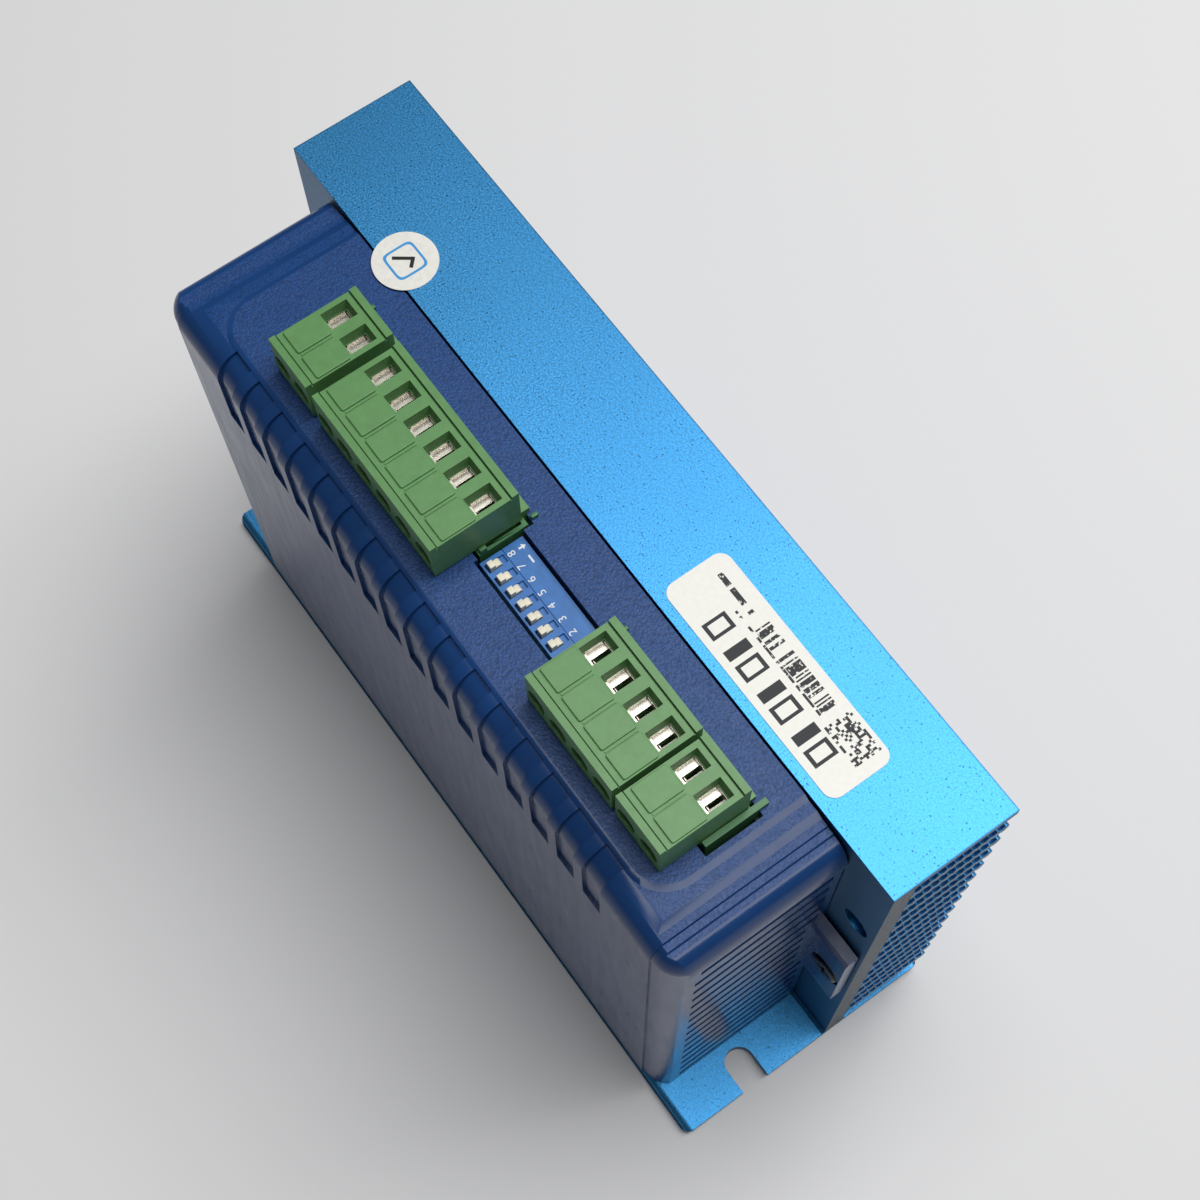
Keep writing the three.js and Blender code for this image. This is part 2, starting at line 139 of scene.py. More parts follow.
class DriverFinishes(bpy.types.PropertyGroup):
    """Colours of the finishes."""

    anodised: colour("Anodised blue", "Blasted and anodised aluminium", (0.060, 0.315, 0.65))
    sawn: colour("Sawn aluminium", "Bare sawn ends of the extrusion", (0.045, 0.066, 0.088))
    cover: colour("Cover blue", "Moulded cover", (0.0095, 0.043, 0.150))
    plug: colour("Plug green", "Plug housings", (0.112, 0.280, 0.092))
    header: colour("Header green", "Headers inside the cover", (0.055, 0.19, 0.07))
    nickel: colour("Nickel", "Plated clamp cages and springs", (0.66, 0.62, 0.54))
    steel: colour("Screw steel", "Zinc plated clamp screws", (0.52, 0.50, 0.47))
    switch: colour("Switch blue", "Switch block", (0.020, 0.140, 0.42))
    ivory: colour("Slider ivory", "Switch sliders", (0.78, 0.74, 0.60))
    paper: colour("Label white", "Printed labels", (0.93, 0.92, 0.86))
    ink: colour("Label ink", "Print on the labels", (0.018, 0.020, 0.024))


# ---- modelling helpers ------------------------------------------------------------------
def deselect():
    """Leaves nothing selected, in object mode."""
    current = bpy.context.object
    if current is not None and current.mode != "OBJECT":
        bpy.ops.object.mode_set(mode="OBJECT")
    bpy.ops.object.select_all(action="DESELECT")


def activate(*obs):
    """Selects these objects and makes the first the active one."""
    deselect()
    for ob in obs:
        ob.select_set(True)
    bpy.context.view_layer.objects.active = obs[0]


def settle(name):
    """Names the new primitive and moves its place into its mesh."""
    ob = bpy.context.object
    ob.name = name
    ob.data.name = name
    activate(ob)
    bpy.ops.object.transform_apply(location=True, rotation=True, scale=True)
    return ob


def block(name, low, high):
    """A cuboid between two corners."""
    low, high = Vector(low), Vector(high)
    deselect()
    bpy.ops.mesh.primitive_cube_add(size=1, location=(low + high) / 2, scale=high - low)
    return settle(name)


def bar(name, x, half, low, high):
    """A cuboid centred on x, between two (y, z) corners."""
    return block(name, (x - half, *low), (x + half, *high))


TURNS = {"x": (0, math.pi / 2, 0), "y": (math.pi / 2, 0, 0), "z": (0, 0, 0)}


def drum(name, centre, axis, radius, depth, sides):
    """A cylinder along an axis, by its centre."""
    deselect()
    bpy.ops.mesh.primitive_cylinder_add(
        vertices=sides, radius=radius, depth=depth, location=centre, rotation=TURNS[axis])
    return settle(name)


def spot(axis, a, b, along):
    """A point from its outline coordinates: (y, z) for x, (x, z) for y, (x, y) for z."""
    return {"x": (along, a, b), "y": (a, along, b), "z": (a, b, along)}[axis]


def prism(name, axis, outline, start, end):
    """A filled ring of points, drawn to an outline and extruded along an axis."""
    deselect()
    bpy.ops.mesh.primitive_circle_add(vertices=len(outline), radius=1, fill_type="NGON")
    ob = settle(name)
    for vert, (a, b) in zip(ob.data.vertices, outline):
        vert.co = spot(axis, a, b, start)
    bpy.ops.object.mode_set(mode="EDIT")
    bpy.ops.mesh.select_all(action="SELECT")
    bpy.ops.mesh.extrude_region_move(
        TRANSFORM_OT_translate={"value": Vector(spot(axis, 0, 0, end - start))})
    bpy.ops.mesh.select_all(action="SELECT")
    bpy.ops.mesh.normals_make_consistent(inside=False)
    bpy.ops.object.mode_set(mode="OBJECT")
    return ob


def rounded(a0, a1, b0, b1, radii, steps):
    """Outline of a rectangle; radii run low-low, high-low, high-high, low-high."""
    centres = (
        (a0 + radii[0], b0 + radii[0], 1.0), (a1 - radii[1], b0 + radii[1], 1.5),
        (a1 - radii[2], b1 - radii[2], 0.0), (a0 + radii[3], b1 - radii[3], 0.5))
    points = []
    for (a, b, turn), radius in zip(centres, radii):
        count = steps if radius > 0 else 0
        for i in range(count + 1):
            angle = math.pi * (turn + (0.5 * i / count if count else 0))
            points.append((a + radius * math.cos(angle), b + radius * math.sin(angle)))
    return points


def pick(ob, kind, test):
    """In edit mode, selects the faces or edges that pass a test."""
    bpy.ops.mesh.select_mode(type=kind)
    bpy.ops.mesh.select_all(action="DESELECT")
    bm = bmesh.from_edit_mesh(ob.data)
    items = bm.faces if kind == "FACE" else bm.edges
    bm.normal_update()
    for item in items:
        if test(item):
            item.select_set(True)
    bm.select_flush_mode()
    bmesh.update_edit_mesh(ob.data)


def slice_at(axis, places):
    """In edit mode, cuts all faces at places along an axis."""
    index = "xyz".index(axis)
    for place in places:
        bpy.ops.mesh.select_all(action="SELECT")
        point, normal = [0, 0, 0], [0, 0, 0]
        point[index], normal[index] = place, 1
        bpy.ops.mesh.bisect(plane_co=point, plane_no=normal)


def edit(ob):
    """Opens an object's mesh for editing."""
    activate(ob)
    bpy.ops.object.mode_set(mode="EDIT")


def done():
    """Closes the mesh being edited."""
    bpy.ops.object.mode_set(mode="OBJECT")


def weld(distance):
    """In edit mode, joins the points that lie this close together."""
    bpy.ops.mesh.select_all(action="SELECT")
    bpy.ops.mesh.remove_doubles(threshold=distance)


def round_edges(ob, test, radius, segments):
    """Rounds the edges that pass a test."""
    edit(ob)
    pick(ob, "EDGE", test)
    bpy.ops.mesh.bevel(offset=radius, segments=segments, affect="EDGES")
    done()


def raise_top(ob, slope, rise):
    """Lifts the face of a prism that looks up, with sloping sides."""
    edit(ob)
    pick(ob, "FACE", lambda face: face.normal.z > 0.99)
    bpy.ops.mesh.inset(thickness=slope, depth=rise)
    done()


def modify(ob, kind, **settings):
    """Adds a modifier, sets it up and applies it."""
    activate(ob)
    modifier = ob.modifiers.new(kind, kind)
    for key, value in settings.items():
        setattr(modifier, key, value)
    bpy.ops.object.modifier_apply(modifier=modifier.name)


def merge(obs):
    """Joins objects into the first."""
    if len(obs) > 1:
        activate(*obs)
        bpy.ops.object.join()
    return obs[0]


def shape(ob, tools, operation="DIFFERENCE"):
    """Cuts, adds or keeps tools with a boolean modifier, and removes them."""
    tool = merge(tools)
    modify(ob, "BOOLEAN", operation=operation, solver="EXACT", use_self=len(tools) > 1,
           object=tool)
    bpy.data.objects.remove(tool, do_unlink=True)
    return ob


def break_edges(ob, width, segments, angle):
    """Rounds the sharp edges and shades the rest smooth."""
    sharp = math.radians(angle)
    edit(ob)
    weld(1e-6)
    bpy.ops.mesh.select_all(action="SELECT")
    bpy.ops.mesh.dissolve_limited(angle_limit=math.radians(0.4))
    done()
    if width > 0:
        modify(ob, "BEVEL", width=width, segments=segments, limit_method="ANGLE",
               angle_limit=sharp, harden_normals=False)
    activate(ob)
    bpy.ops.object.shade_smooth_by_angle(angle=sharp)
    modify(ob, "WEIGHTED_NORMAL", keep_sharp=True)
    return ob


def copy_of(node, name):
    """A merged copy of a CAD node, for a piece that keeps its shape."""
    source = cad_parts[node]
    ob = bpy.data.objects.new(name, source.data.copy())
    bpy.context.collection.objects.link(ob)
    ob.data.materials.clear()
    edit(ob)
    weld(2e-6)
    done()
    return ob


def twin(ob, name, move):
    """A copy with its own mesh, moved in its mesh."""
    other = ob.copy()
    other.data = ob.data.copy()
    other.name = name
    other.data.name = name
    other.data.transform(Matrix.Translation(move))
    bpy.context.collection.objects.link(other)
    return other


def place(ob, body, slot, finish, *nodes):
    """Gives a piece its finish and its body, and hides the CAD nodes it stands for."""
    ob.data.materials.clear()
    ob.data.materials.append(finish)
    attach(ob, body)
    if nodes:
        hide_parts(*nodes)
    return ob


# ---- shader helpers ---------------------------------------------------------------------
class Wire:
    """A shader socket that can be used in Python expressions."""

    def __init__(self, finish, socket):
        self.finish = finish
        self.socket = socket

    def math(self, operation, *others):
        """A Math node on this socket."""
        return self.finish.node(
            "ShaderNodeMath", {"operation": operation}, dict(enumerate((self,) + others)))

    def __add__(self, other):
        return self.math("ADD", other)

    __radd__ = __add__

    def __sub__(self, other):
        return self.math("SUBTRACT", other)

    def __rsub__(self, other):
        return self.finish.node("ShaderNodeMath", {"operation": "SUBTRACT"}, {0: other, 1: self})

    def __mul__(self, other):
        return self.math("MULTIPLY", other)

    __rmul__ = __mul__

    def __truediv__(self, other):
        return self.math("DIVIDE", other)

    def __abs__(self):
        return self.math("ABSOLUTE")

    def __pow__(self, other):
        return self.math("POWER", other)

    def over(self, edge):
        """1 where the value is over an edge, else 0."""
        return self.math("GREATER_THAN", edge)

    def under(self, edge):
        """1 where the value is under an edge, else 0."""
        return self.math("LESS_THAN", edge)

    def floor(self):
        """The value rounded down."""
        return self.math("FLOOR")

    def part(self):
        """The value's fractional part."""
        return self.math("FRACT")

    def both(self, other):
        """The smaller of two values."""
        return self.math("MINIMUM", other)

    def either(self, other):
        """The larger of two values."""
        return self.math("MAXIMUM", other)

    def ramp(self, low, high, to_low=0.0, to_high=1.0):
        """The value carried from one range to another, kept inside it."""
        return self.finish.node(
            "ShaderNodeMapRange", {"clamp": True},
            {"Value": self, "From Min": low, "From Max": high, "To Min": to_low,
             "To Max": to_high})


class Finish:
    """One procedural material."""

    def __init__(self, name, rough=0.5, metal=0.0, coat=0.0, sheen=None):
        self.material = bpy.data.materials.new(name)
        self.material.use_nodes = True
        self.tree = self.material.node_tree
        self.shader = self.tree.nodes["Principled BSDF"]
        self.set("Roughness", rough)
        self.set("Metallic", metal)
        self.set("IOR", 1.5)
        self.set("Coat Weight", coat)
        if sheen is not None:
            self.set("Specular IOR Level", sheen)

    def node(self, kind, settings=None, inputs=None, out=0):
        """Adds a node, sets it up and wires its inputs."""
        made = self.tree.nodes.new(kind)
        for key, value in (settings or {}).items():
            setattr(made, key, value)
        for key, value in (inputs or {}).items():
            self.feed(made.inputs[key], value)
        return Wire(self, made.outputs[out])

    def feed(self, socket, value):
        """Links a wire or sets a value."""
        if isinstance(value, Wire):
            self.tree.links.new(value.socket, socket)
        elif socket.type == "RGBA" and len(value) == 3:
            socket.default_value = (*value, 1.0)
        else:
            socket.default_value = value

    def set(self, name, value):
        """Feeds one of the shader's own sockets."""
        self.feed(self.shader.inputs[name], value)

    def place(self):
        """Object coordinates in metres, as a vector wire."""
        return self.node("ShaderNodeTexCoord", out="Object")

    def axes(self, vector=None):
        """The three numbers of a vector, or of the place."""
        vector = vector or self.place()
        made = self.node("ShaderNodeSeparateXYZ", None, {0: vector})
        return [Wire(self, made.socket.node.outputs[i]) for i in range(3)]

    def facing(self):
        """The three numbers of the surface's true direction."""
        return self.axes(self.node("ShaderNodeNewGeometry", out="True Normal"))

    def scaled(self, size, stretch=(1, 1, 1)):
        """Object coordinates counted in grains of this size."""
        return self.node(
            "ShaderNodeVectorMath", {"operation": "MULTIPLY"},
            {0: self.place(), 1: tuple(s / size for s in stretch)})

    def noise(self, size, detail=2.0, rough=0.5, stretch=(1, 1, 1)):
        """Soft noise whose grains are about this many metres across."""
        return self.node(
            "ShaderNodeTexNoise", {"noise_dimensions": "3D"},
            {"Vector": self.scaled(size, stretch), "Scale": 1.0, "Detail": detail,
             "Roughness": rough})

    def cells(self, size, feature="F1"):
        """Distance to the middle of Voronoi cells of this size."""
        return self.node(
            "ShaderNodeTexVoronoi", {"feature": feature},
            {"Vector": self.scaled(size), "Scale": 1.0}, out="Distance")

    def random(self, a, b):
        """A random number from two numbers, the same wherever they are the same."""
        joined = self.node("ShaderNodeCombineXYZ", None, {0: a, 1: b, 2: 0.37})
        return self.node("ShaderNodeTexWhiteNoise", {"noise_dimensions": "3D"}, {"Vector": joined})

    def mix(self, share, first, second):
        """A colour between two colours."""
        made = self.node("ShaderNodeMix", {"data_type": "RGBA"}, {0: share})
        node = made.socket.node
        self.feed(node.inputs[6], first)
        self.feed(node.inputs[7], second)
        return Wire(self, node.outputs[2])

    def bump(self, height, depth, strength=1.0):
        """Feeds the shader's normal from a height."""
        self.set("Normal", self.node(
            "ShaderNodeBump", None,
            {"Strength": strength, "Distance": depth, "Height": height}, out="Normal"))


def tint(base, factor):
    """A colour made lighter or darker."""
    return tuple(min(1.0, c * factor) for c in base)


# ---- finishes ---------------------------------------------------------------------------
def anodised_finish(tones):
    """Blasted and anodised aluminium, bare where the extrusion is sawn off, with painted shade on
    upright faces and along the strip's outer edge.
    """
    f = Finish("anodised_aluminium", rough=0.4, metal=0.85)
    x, y, z = f.axes()
    face_x = abs(f.facing()[0])
    sawn = abs(x).over(SINK_HIGH.x - 0.35 * MM).both(face_x.over(0.7)).both(y.under(8.6 * MM))
    sawn = sawn.both(z.over(SINK_LOW.z + 2.6 * MM))
    grain = f.noise(0.30 * MM, detail=3.0, rough=0.6)
    fine = f.noise(0.16 * MM, detail=1.0)
    cloud = f.noise(26 * MM, detail=2.0)
    speck = f.cells(0.8 * MM).under(0.2)
    blue = f.mix(
        grain.ramp(0.38, 0.62), tint(tones.anodised, 0.70), tint(tones.anodised, 1.22))
    blue = f.mix(cloud.ramp(0.3, 0.7, 0.0, 0.22), blue, tint(tones.anodised, 0.72))
    blue = f.mix(speck * grain.under(0.5) * 0.8, blue, tint(tones.anodised, 0.25))
    # Painted shade: a thin dark band along the strip's outer edge and its ends, near the top.
    painted_shade_rim = y.over(SINK_HIGH.y - 0.22 * MM).either(abs(x).over(SINK_HIGH.x - 0.2 * MM))
    blue = f.mix(painted_shade_rim.both(z.over(SINK_HIGH.z - 1.9 * MM)) * 0.6, blue, tint(tones.anodised, 0.3))
    # Painted shade: faces that do not look up are painted darker, the more upright the darker.
    painted_shade_tilt = abs(f.facing()[2])
    blue = f.mix(painted_shade_tilt.ramp(0.2, 0.9, 0.85, 0.0), blue, tint(tones.anodised, 0.28))
    saw = f.noise(0.34 * MM, detail=3.0, rough=0.7, stretch=(1, 1, 0.05))
    bare = f.mix(saw.ramp(0.3, 0.7), tint(tones.sawn, 0.45), tint(tones.sawn, 1.7))
    f.set("Base Color", f.mix(sawn, blue, bare))
    f.set("Metallic", sawn.ramp(0, 1, 0.86, 0.55))
    f.set("Roughness", grain.ramp(0.3, 0.7, 0.37, 0.49) + sawn * 0.08)
    f.bump((grain + fine * 0.6) * (1 - sawn) + saw * sawn, 0.03 * MM, 0.8)
    return f.material


def cover_finish(tones):
    """Moulded plastic: leather grain on the flats of the front, satin on the rest."""
    f = Finish("cover_plastic", rough=0.34, sheen=0.31)
    z = f.axes()[2]
    flat = f.facing()[2].over(0.995).both(z.over(COVER_HIGH.z - 2.4 * MM))
    pebble = f.cells(0.36 * MM, "SMOOTH_F1")
    grain = f.noise(0.22 * MM, detail=2.0, rough=0.55)
    flow = f.noise(30 * MM, detail=2.0)
    wear = f.noise(2.2 * MM, detail=3.0, rough=0.6, stretch=(1, 1, 0.15))
    smooth = f.mix(flow.ramp(0.3, 0.7), tones.cover, tint(tones.cover, 1.35))
    # On the flats the grain's cells are lighter in their raised middles.
    pebble_lightened = f.mix(pebble.ramp(0.15, 0.75), tint(tones.cover, 1.75), tones.cover)
    f.set("Base Color", f.mix(flat, smooth, pebble_lightened))
    f.set(
        "Roughness",
        flat * pebble.ramp(0.1, 0.8, 0.14, 0.24) + wear.ramp(0.3, 0.7, 0.20, 0.28))
    f.bump(flat * (1 - pebble) * 1.3 + grain * (flat * 0.8 + 0.10), 0.05 * MM, 0.8)
    return f.material


def moulded_finish(name, tone, rough=0.42, glow=1.18):
    """Moulded plastic with a faint mottle and a light satin grain."""
    f = Finish(name, rough=rough)
    mottle = f.noise(1.6 * MM, detail=3.0, rough=0.6)
    grain = f.noise(0.12 * MM, detail=2.0)
    speck = f.cells(0.9 * MM).under(0.06)
    body = f.mix(mottle.ramp(0.3, 0.7), tint(tone, 0.96), tint(tone, glow))
    f.set("Base Color", f.mix(speck * 0.35, body, tint(tone, 0.5)))
    f.set("Roughness", grain.ramp(0.3, 0.7, rough - 0.05, rough + 0.08))
    f.bump(grain + mottle * 0.5, 0.012 * MM, 0.4)
    return f.material


def metal_finish(name, tone, rough, streak, dark=0.6, relief=0.5):
    """Plated or turned metal, brushed along a chosen direction."""
    f = Finish(name, rough=rough, metal=1.0)
    lines = f.noise(0.16 * MM, detail=3.0, stretch=streak)
    cloud = f.noise(1.3 * MM, detail=3.0, rough=0.65)
    f.set("Base Color", f.mix(cloud.ramp(0.35, 0.75), tone, tint(tone, dark)))
    f.set("Roughness", lines.ramp(0.3, 0.7, rough - 0.06, rough + 0.12))
    f.bump(lines + cloud * 0.5, 0.01 * MM, relief)
    return f.material


def board_finish(node):
    """Solder mask over copper tracks, with tinned pads."""
    low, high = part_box(node)
    f = Finish("circuit_board", rough=0.35, coat=0.2)
    x, y, z = f.axes()
    step = 2.54 * MM
    across, up = (x, y) if high.y - low.y > high.z - low.z else (x, z)
    cell_a, cell_b = (across / step).floor(), (up / step).floor()
    off_a, off_b = (across / step).part() - 0.5, (up / step).part() - 0.5
    track = abs(off_a).under(0.11).both(f.random(cell_a, cell_b).over(0.45))
    pad = (off_a ** 2 + off_b ** 2).under(0.045).both(f.random(cell_b, cell_a).over(0.8))
    mask = f.mix(f.random(cell_a, 3.0), (0.012, 0.10, 0.035), (0.016, 0.125, 0.045))
    mask = f.mix(track, mask, (0.03, 0.20, 0.07))
    f.set("Base Color", f.mix(pad, mask, (0.62, 0.60, 0.55)))
    f.set("Metallic", pad * 0.9)
    f.set("Roughness", pad.ramp(0, 1, 0.35, 0.28))
    f.bump(track + pad, 0.03 * MM, 0.6)
    return f.material


def capacitor_finish(node):
    """Shrink sleeve with a pale stripe, and a vented aluminium top."""
    low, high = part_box(node)
    middle = (low + high) / 2
    f = Finish("capacitor_sleeve_" + node[-5:].strip("_"), rough=0.32)
    x, y, z = f.axes()
    dx, dz = x - middle.x, z - middle.z
    top = (y - low.y).under(0.25 * MM)
    radius = (dx ** 2 + dz ** 2) ** 0.5
    core = radius.under((high.x - low.x) * 0.42).both(top)
    vent = abs(dx).under(0.14 * MM).either(abs(dz).under(0.14 * MM)).both(core)
    stripe = abs(dx).under(2.2 * MM).both(dz.over(0)).both(1 - top)
    sleeve = f.mix(stripe, (0.012, 0.014, 0.02), (0.42, 0.43, 0.44))
    f.set("Base Color", f.mix(core, sleeve, (0.62, 0.63, 0.64)))
    f.set("Metallic", core * 0.95)
    f.bump(core * 0.3 - vent, 0.15 * MM, 0.8)
    return f.material


def epoxy_finish():
    """Black moulding compound, with tinned leads under it."""
    f = Finish("epoxy", rough=0.5)
    z = f.axes()[2]
    lead = z.under(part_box("power_package_left")[0].z + 3.9 * MM)
    grain = f.noise(0.2 * MM, detail=2.0)
    f.set("Base Color", f.mix(lead, (0.012, 0.012, 0.013), (0.55, 0.54, 0.52)))
    f.set("Metallic", lead * 0.95)
    f.set("Roughness", lead.ramp(0, 1, 0.5, 0.25))
    f.bump(grain, 0.02 * MM, 0.5)
    return f.material


def pad_finish():
    """Woven, filled silicone."""
    f = Finish("silicone_pad", rough=0.75)
    x, _y, z = f.axes()
    weave = ((x / (0.6 * MM)).part() - 0.5) * ((z / (0.6 * MM)).part() - 0.5)
    f.set("Base Color", f.mix(weave.ramp(-0.25, 0.25), (0.42, 0.43, 0.45), (0.52, 0.53, 0.55)))
    f.bump(weave, 0.08 * MM, 0.6)
    return f.material


def winding_finish():
    """Enamelled copper wire wound round a ring core, with painted shade between the turns."""
    low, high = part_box("dc_choke")
    middle = (low + high) / 2
    f = Finish("copper_wire", rough=0.3, metal=0.85)
    x, _y, z = f.axes()
    angle = (z - middle.z).math("ARCTAN2", x - middle.x)
    turn = abs((angle * (34 / math.tau)).part() - 0.5)
    # Painted shade: the copper is painted darker towards the creases between turns.
    f.set("Base Color", f.mix(turn.ramp(0.1, 0.5), (0.60, 0.23, 0.075), (0.16, 0.05, 0.02)))
    f.bump(1 - turn * turn * 4, 0.4 * MM, 0.9)
    return f.material


def label_finish(tones):
    """White film with generic bars and blocks printed on it."""
    low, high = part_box("type_label")
    f = Finish("label_paper", rough=0.42)
    x, y, _z = f.axes()
    u, v = (high.x - x) / MM, (y - low.y) / MM

    def within(a0, a1, b0, b1):
        """1 inside a rectangle of the label."""
        return u.over(a0).both(u.under(a1)).both(v.over(b0)).both(v.under(b1))

    step = (u - 5.2) / 3.9
    across, even = step.part(), (step / 2).part().under(0.5)
    mark = across.under(even * 0.3 + 0.45)
    hollow = across.over(0.14).both(across.under(0.61)).both(v.over(1.95)).both(v.under(4.75))
    heavy = mark.both(1 - hollow.both(even)).both(within(5.2, 32.4, 1.3, 5.4))
    code = f.random((u / 0.27).floor(), 1.0).over(0.48).both(within(11.0, 27.5, 7.0, 9.6))
    cells = f.random((u / 0.42).floor(), (v / 0.42).floor()).over(0.5)
    cells = cells.both(within(2.1, 9.24, 5.88, 10.5))
    lines = f.random((u / 0.5).floor(), (v / 1.3).floor()).over(0.35)
    lines = lines.both((v / 1.3).part().under(0.5)).both(within(11.0, 30.5, 5.9, 6.9))
    small = f.random((u / 0.6).floor(), 9.0).over(0.3).both(within(28.8, 36.5, 7.9, 8.8))
    worn = f.noise(0.5 * MM, detail=3.0).ramp(0.36, 0.42)
    ink = heavy.either(code.either(cells).either(lines).either(small) * worn)
    fibre = f.noise(0.8 * MM, detail=2.0)
    paper = f.mix(fibre.ramp(0.3, 0.7), tint(tones.paper, 0.95), tones.paper)
    f.set("Base Color", f.mix(ink, paper, tones.ink))
    f.set("Roughness", ink.ramp(0, 1, 0.42, 0.6))
    f.bump(fibre * 0.4 + ink, 0.006 * MM, 0.5)
    return f.material


def sticker_finish(tones):
    """Round sticker with a blue rounded frame and a tick."""
    low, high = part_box("round_sticker")
    middle = (low + high) / 2
    f = Finish("round_label", rough=0.4, coat=0.12)
    x, y, _z = f.axes()
    u, v = (x - middle.x) / MM, (y - middle.y) / MM

    def stroke(u0, v0, u1, v1, half):
        """1 on a straight stroke between two points."""
        du, dv = u1 - u0, v1 - v0
        size = math.hypot(du, dv)
        along = ((u - u0) * du + (v - v0) * dv) / size
        aside = abs((u - u0) * -dv + (v - v0) * du) / size
        return along.over(-half).both(along.under(size + half)).both(aside.under(half))

    square = (abs(u) ** 6 + abs(v) ** 6) ** (1 / 6)
    frame_line = square.over(2.35).both(square.under(2.75))
    tick = stroke(1.35, 0.25, 0.35, 1.2, 0.3).either(stroke(0.35, 1.2, -1.4, -1.15, 0.3))
    fibre = f.noise(0.7 * MM, detail=2.0)
    paper = f.mix(fibre.ramp(0.3, 0.7), tint(tones.paper, 0.86), tint(tones.paper, 0.95))
    shown = f.mix(frame_line, paper, (0.05, 0.32, 0.70))
    f.set("Base Color", f.mix(tick, shown, tones.ink))
    f.set("Roughness", tick.ramp(0, 1, 0.4, 0.32))
    f.bump(fibre, 0.005 * MM, 0.5)
    return f.material


FINISHES = {}


def finish(name):
    """Makes a finish once and hands it out."""
    tones = bpy.context.scene.driver_finishes
    makers = {
        "anodised_aluminium": lambda: anodised_finish(tones),
        "cover_plastic": lambda: cover_finish(tones),
        "plug_plastic": lambda: moulded_finish("plug_plastic", tones.plug, 0.40, 1.10),
        "header_plastic": lambda: moulded_finish("header_plastic", tones.header),
        "nickel_plate": lambda: metal_finish(
            "nickel_plate", tones.nickel, 0.30, (1, 1, 0.1), 0.8, 0.1),
        "screw_steel": lambda: metal_finish("screw_steel", tones.steel, 0.3, (0.1, 1, 1)),
        "black_steel": lambda: metal_finish("black_steel", (0.035, 0.034, 0.036), 0.3, (1, 1, 1)),
        "switch_plastic": lambda: moulded_finish("switch_plastic", tones.switch, 0.38, 1.25),
        "slider_plastic": lambda: moulded_finish("slider_plastic", tones.ivory, 0.42, 1.08),
        "white_print": lambda: moulded_finish("white_print", (0.80, 0.82, 0.84), 0.5, 1.05),
        "circuit_board": lambda: board_finish("main_board"),
        "switch_board": lambda: board_finish("dip_board"),
        "capacitor_left": lambda: capacitor_finish("capacitor_left"),
        "capacitor_right": lambda: capacitor_finish("capacitor_right"),
        "epoxy": epoxy_finish,
        "silicone_pad": pad_finish,
        "copper_wire": winding_finish,
        "label_paper": lambda: label_finish(tones),
        "round_label": lambda: sticker_finish(tones),
    }
    if name not in FINISHES:
        FINISHES[name] = makers[name]()
    return FINISHES[name]


# ---- heat sink --------------------------------------------------------------------------
WEB_Y = 4.5 * MM
SLOT_Y = -11.1 * MM
SIDE_HOLE_X, SIDE_HOLE_Z = 71.1 * MM, 72.7 * MM
FIN_ROOT, FIN_TIP, FIN_TOP = 8.2 * MM, 26.25 * MM, 90.5 * MM


def sink_channel(sizes):
    """Foot, web and strip as one extrusion, with its slots and holes."""
    low, high = SINK_LOW, SINK_HIGH
    web, back = WEB_Y, WEB_Y + sizes.web
    fillet, foot_corner, screw_hole = 0.6 * MM, 1.6 * MM, 1.6 * MM
    beyond, slot_height = 2 * MM, 4.6 * MM
    outline = [
        (low.y, 0), (high.y, 0), (high.y, sizes.foot), (back + fillet, sizes.foot),
        (back, sizes.foot + fillet), (back, high.z - sizes.strip - fillet),
        (back + fillet, high.z - sizes.strip), (high.y, high.z - sizes.strip),
        (high.y, high.z), (web, high.z), (web, sizes.foot + fillet),
        (web - fillet, sizes.foot), (low.y, sizes.foot)]
    channel = prism("heat_sink_channel", "x", outline, low.x, high.x)
    round_edges(channel, lambda e: all(
        abs(abs(v.co.x) - high.x) < 1e-6 and abs(abs(v.co.y) - high.y) < 1e-6
        and v.co.z < sizes.foot + 1e-6 for v in e.verts), foot_corner, 6)
    middle = web + sizes.web / 2
    tools = []
    for side in (-1, 1):
        inner = side * (high.x - sizes.slot_depth + sizes.slot_radius)
        ends = sorted((inner, side * (high.x + beyond)))
        tools.append(block(
            "slot", (ends[0], SLOT_Y - sizes.slot_radius, -MM),
            (ends[1], SLOT_Y + sizes.slot_radius, sizes.foot + MM)))
        tools.append(drum(
            "slot_end", (inner, SLOT_Y, sizes.foot / 2), "z", sizes.slot_radius,
            slot_height, 48))
        tools.append(drum(
            "side_hole", (side * SIDE_HOLE_X, middle, SIDE_HOLE_Z), "y",
            sizes.hole_radius, sizes.web + beyond, 48))
        tools.append(drum(
            "screw_hole", (side * EAR_SCREW_X, middle, EAR_SCREW_Z), "y",
            screw_hole, sizes.web + beyond, 32))
    for tool in tools:
        shape(channel, [tool])
    return break_edges(channel, sizes.edge, 2, 40)


def fin_outline(sizes, z):
    """Outline of one ribbed fin round its middle height."""
    ribs = 12
    step = (FIN_TIP - FIN_ROOT) / ribs
    side = []
    for i in range(ribs):
        for share in (0.06, 0.22, 0.42, 0.62, 0.8):
            swell = math.sin(math.pi * share) ** 0.7
            side.append((FIN_ROOT + (i + share) * step, sizes.fin_core + sizes.rib * swell))
    side.append((FIN_TIP, sizes.fin_core * 0.9))
    lower = [(y, z - half) for y, half in side]
    upper = [(y, z + half) for y, half in reversed(side)]
    return lower + upper


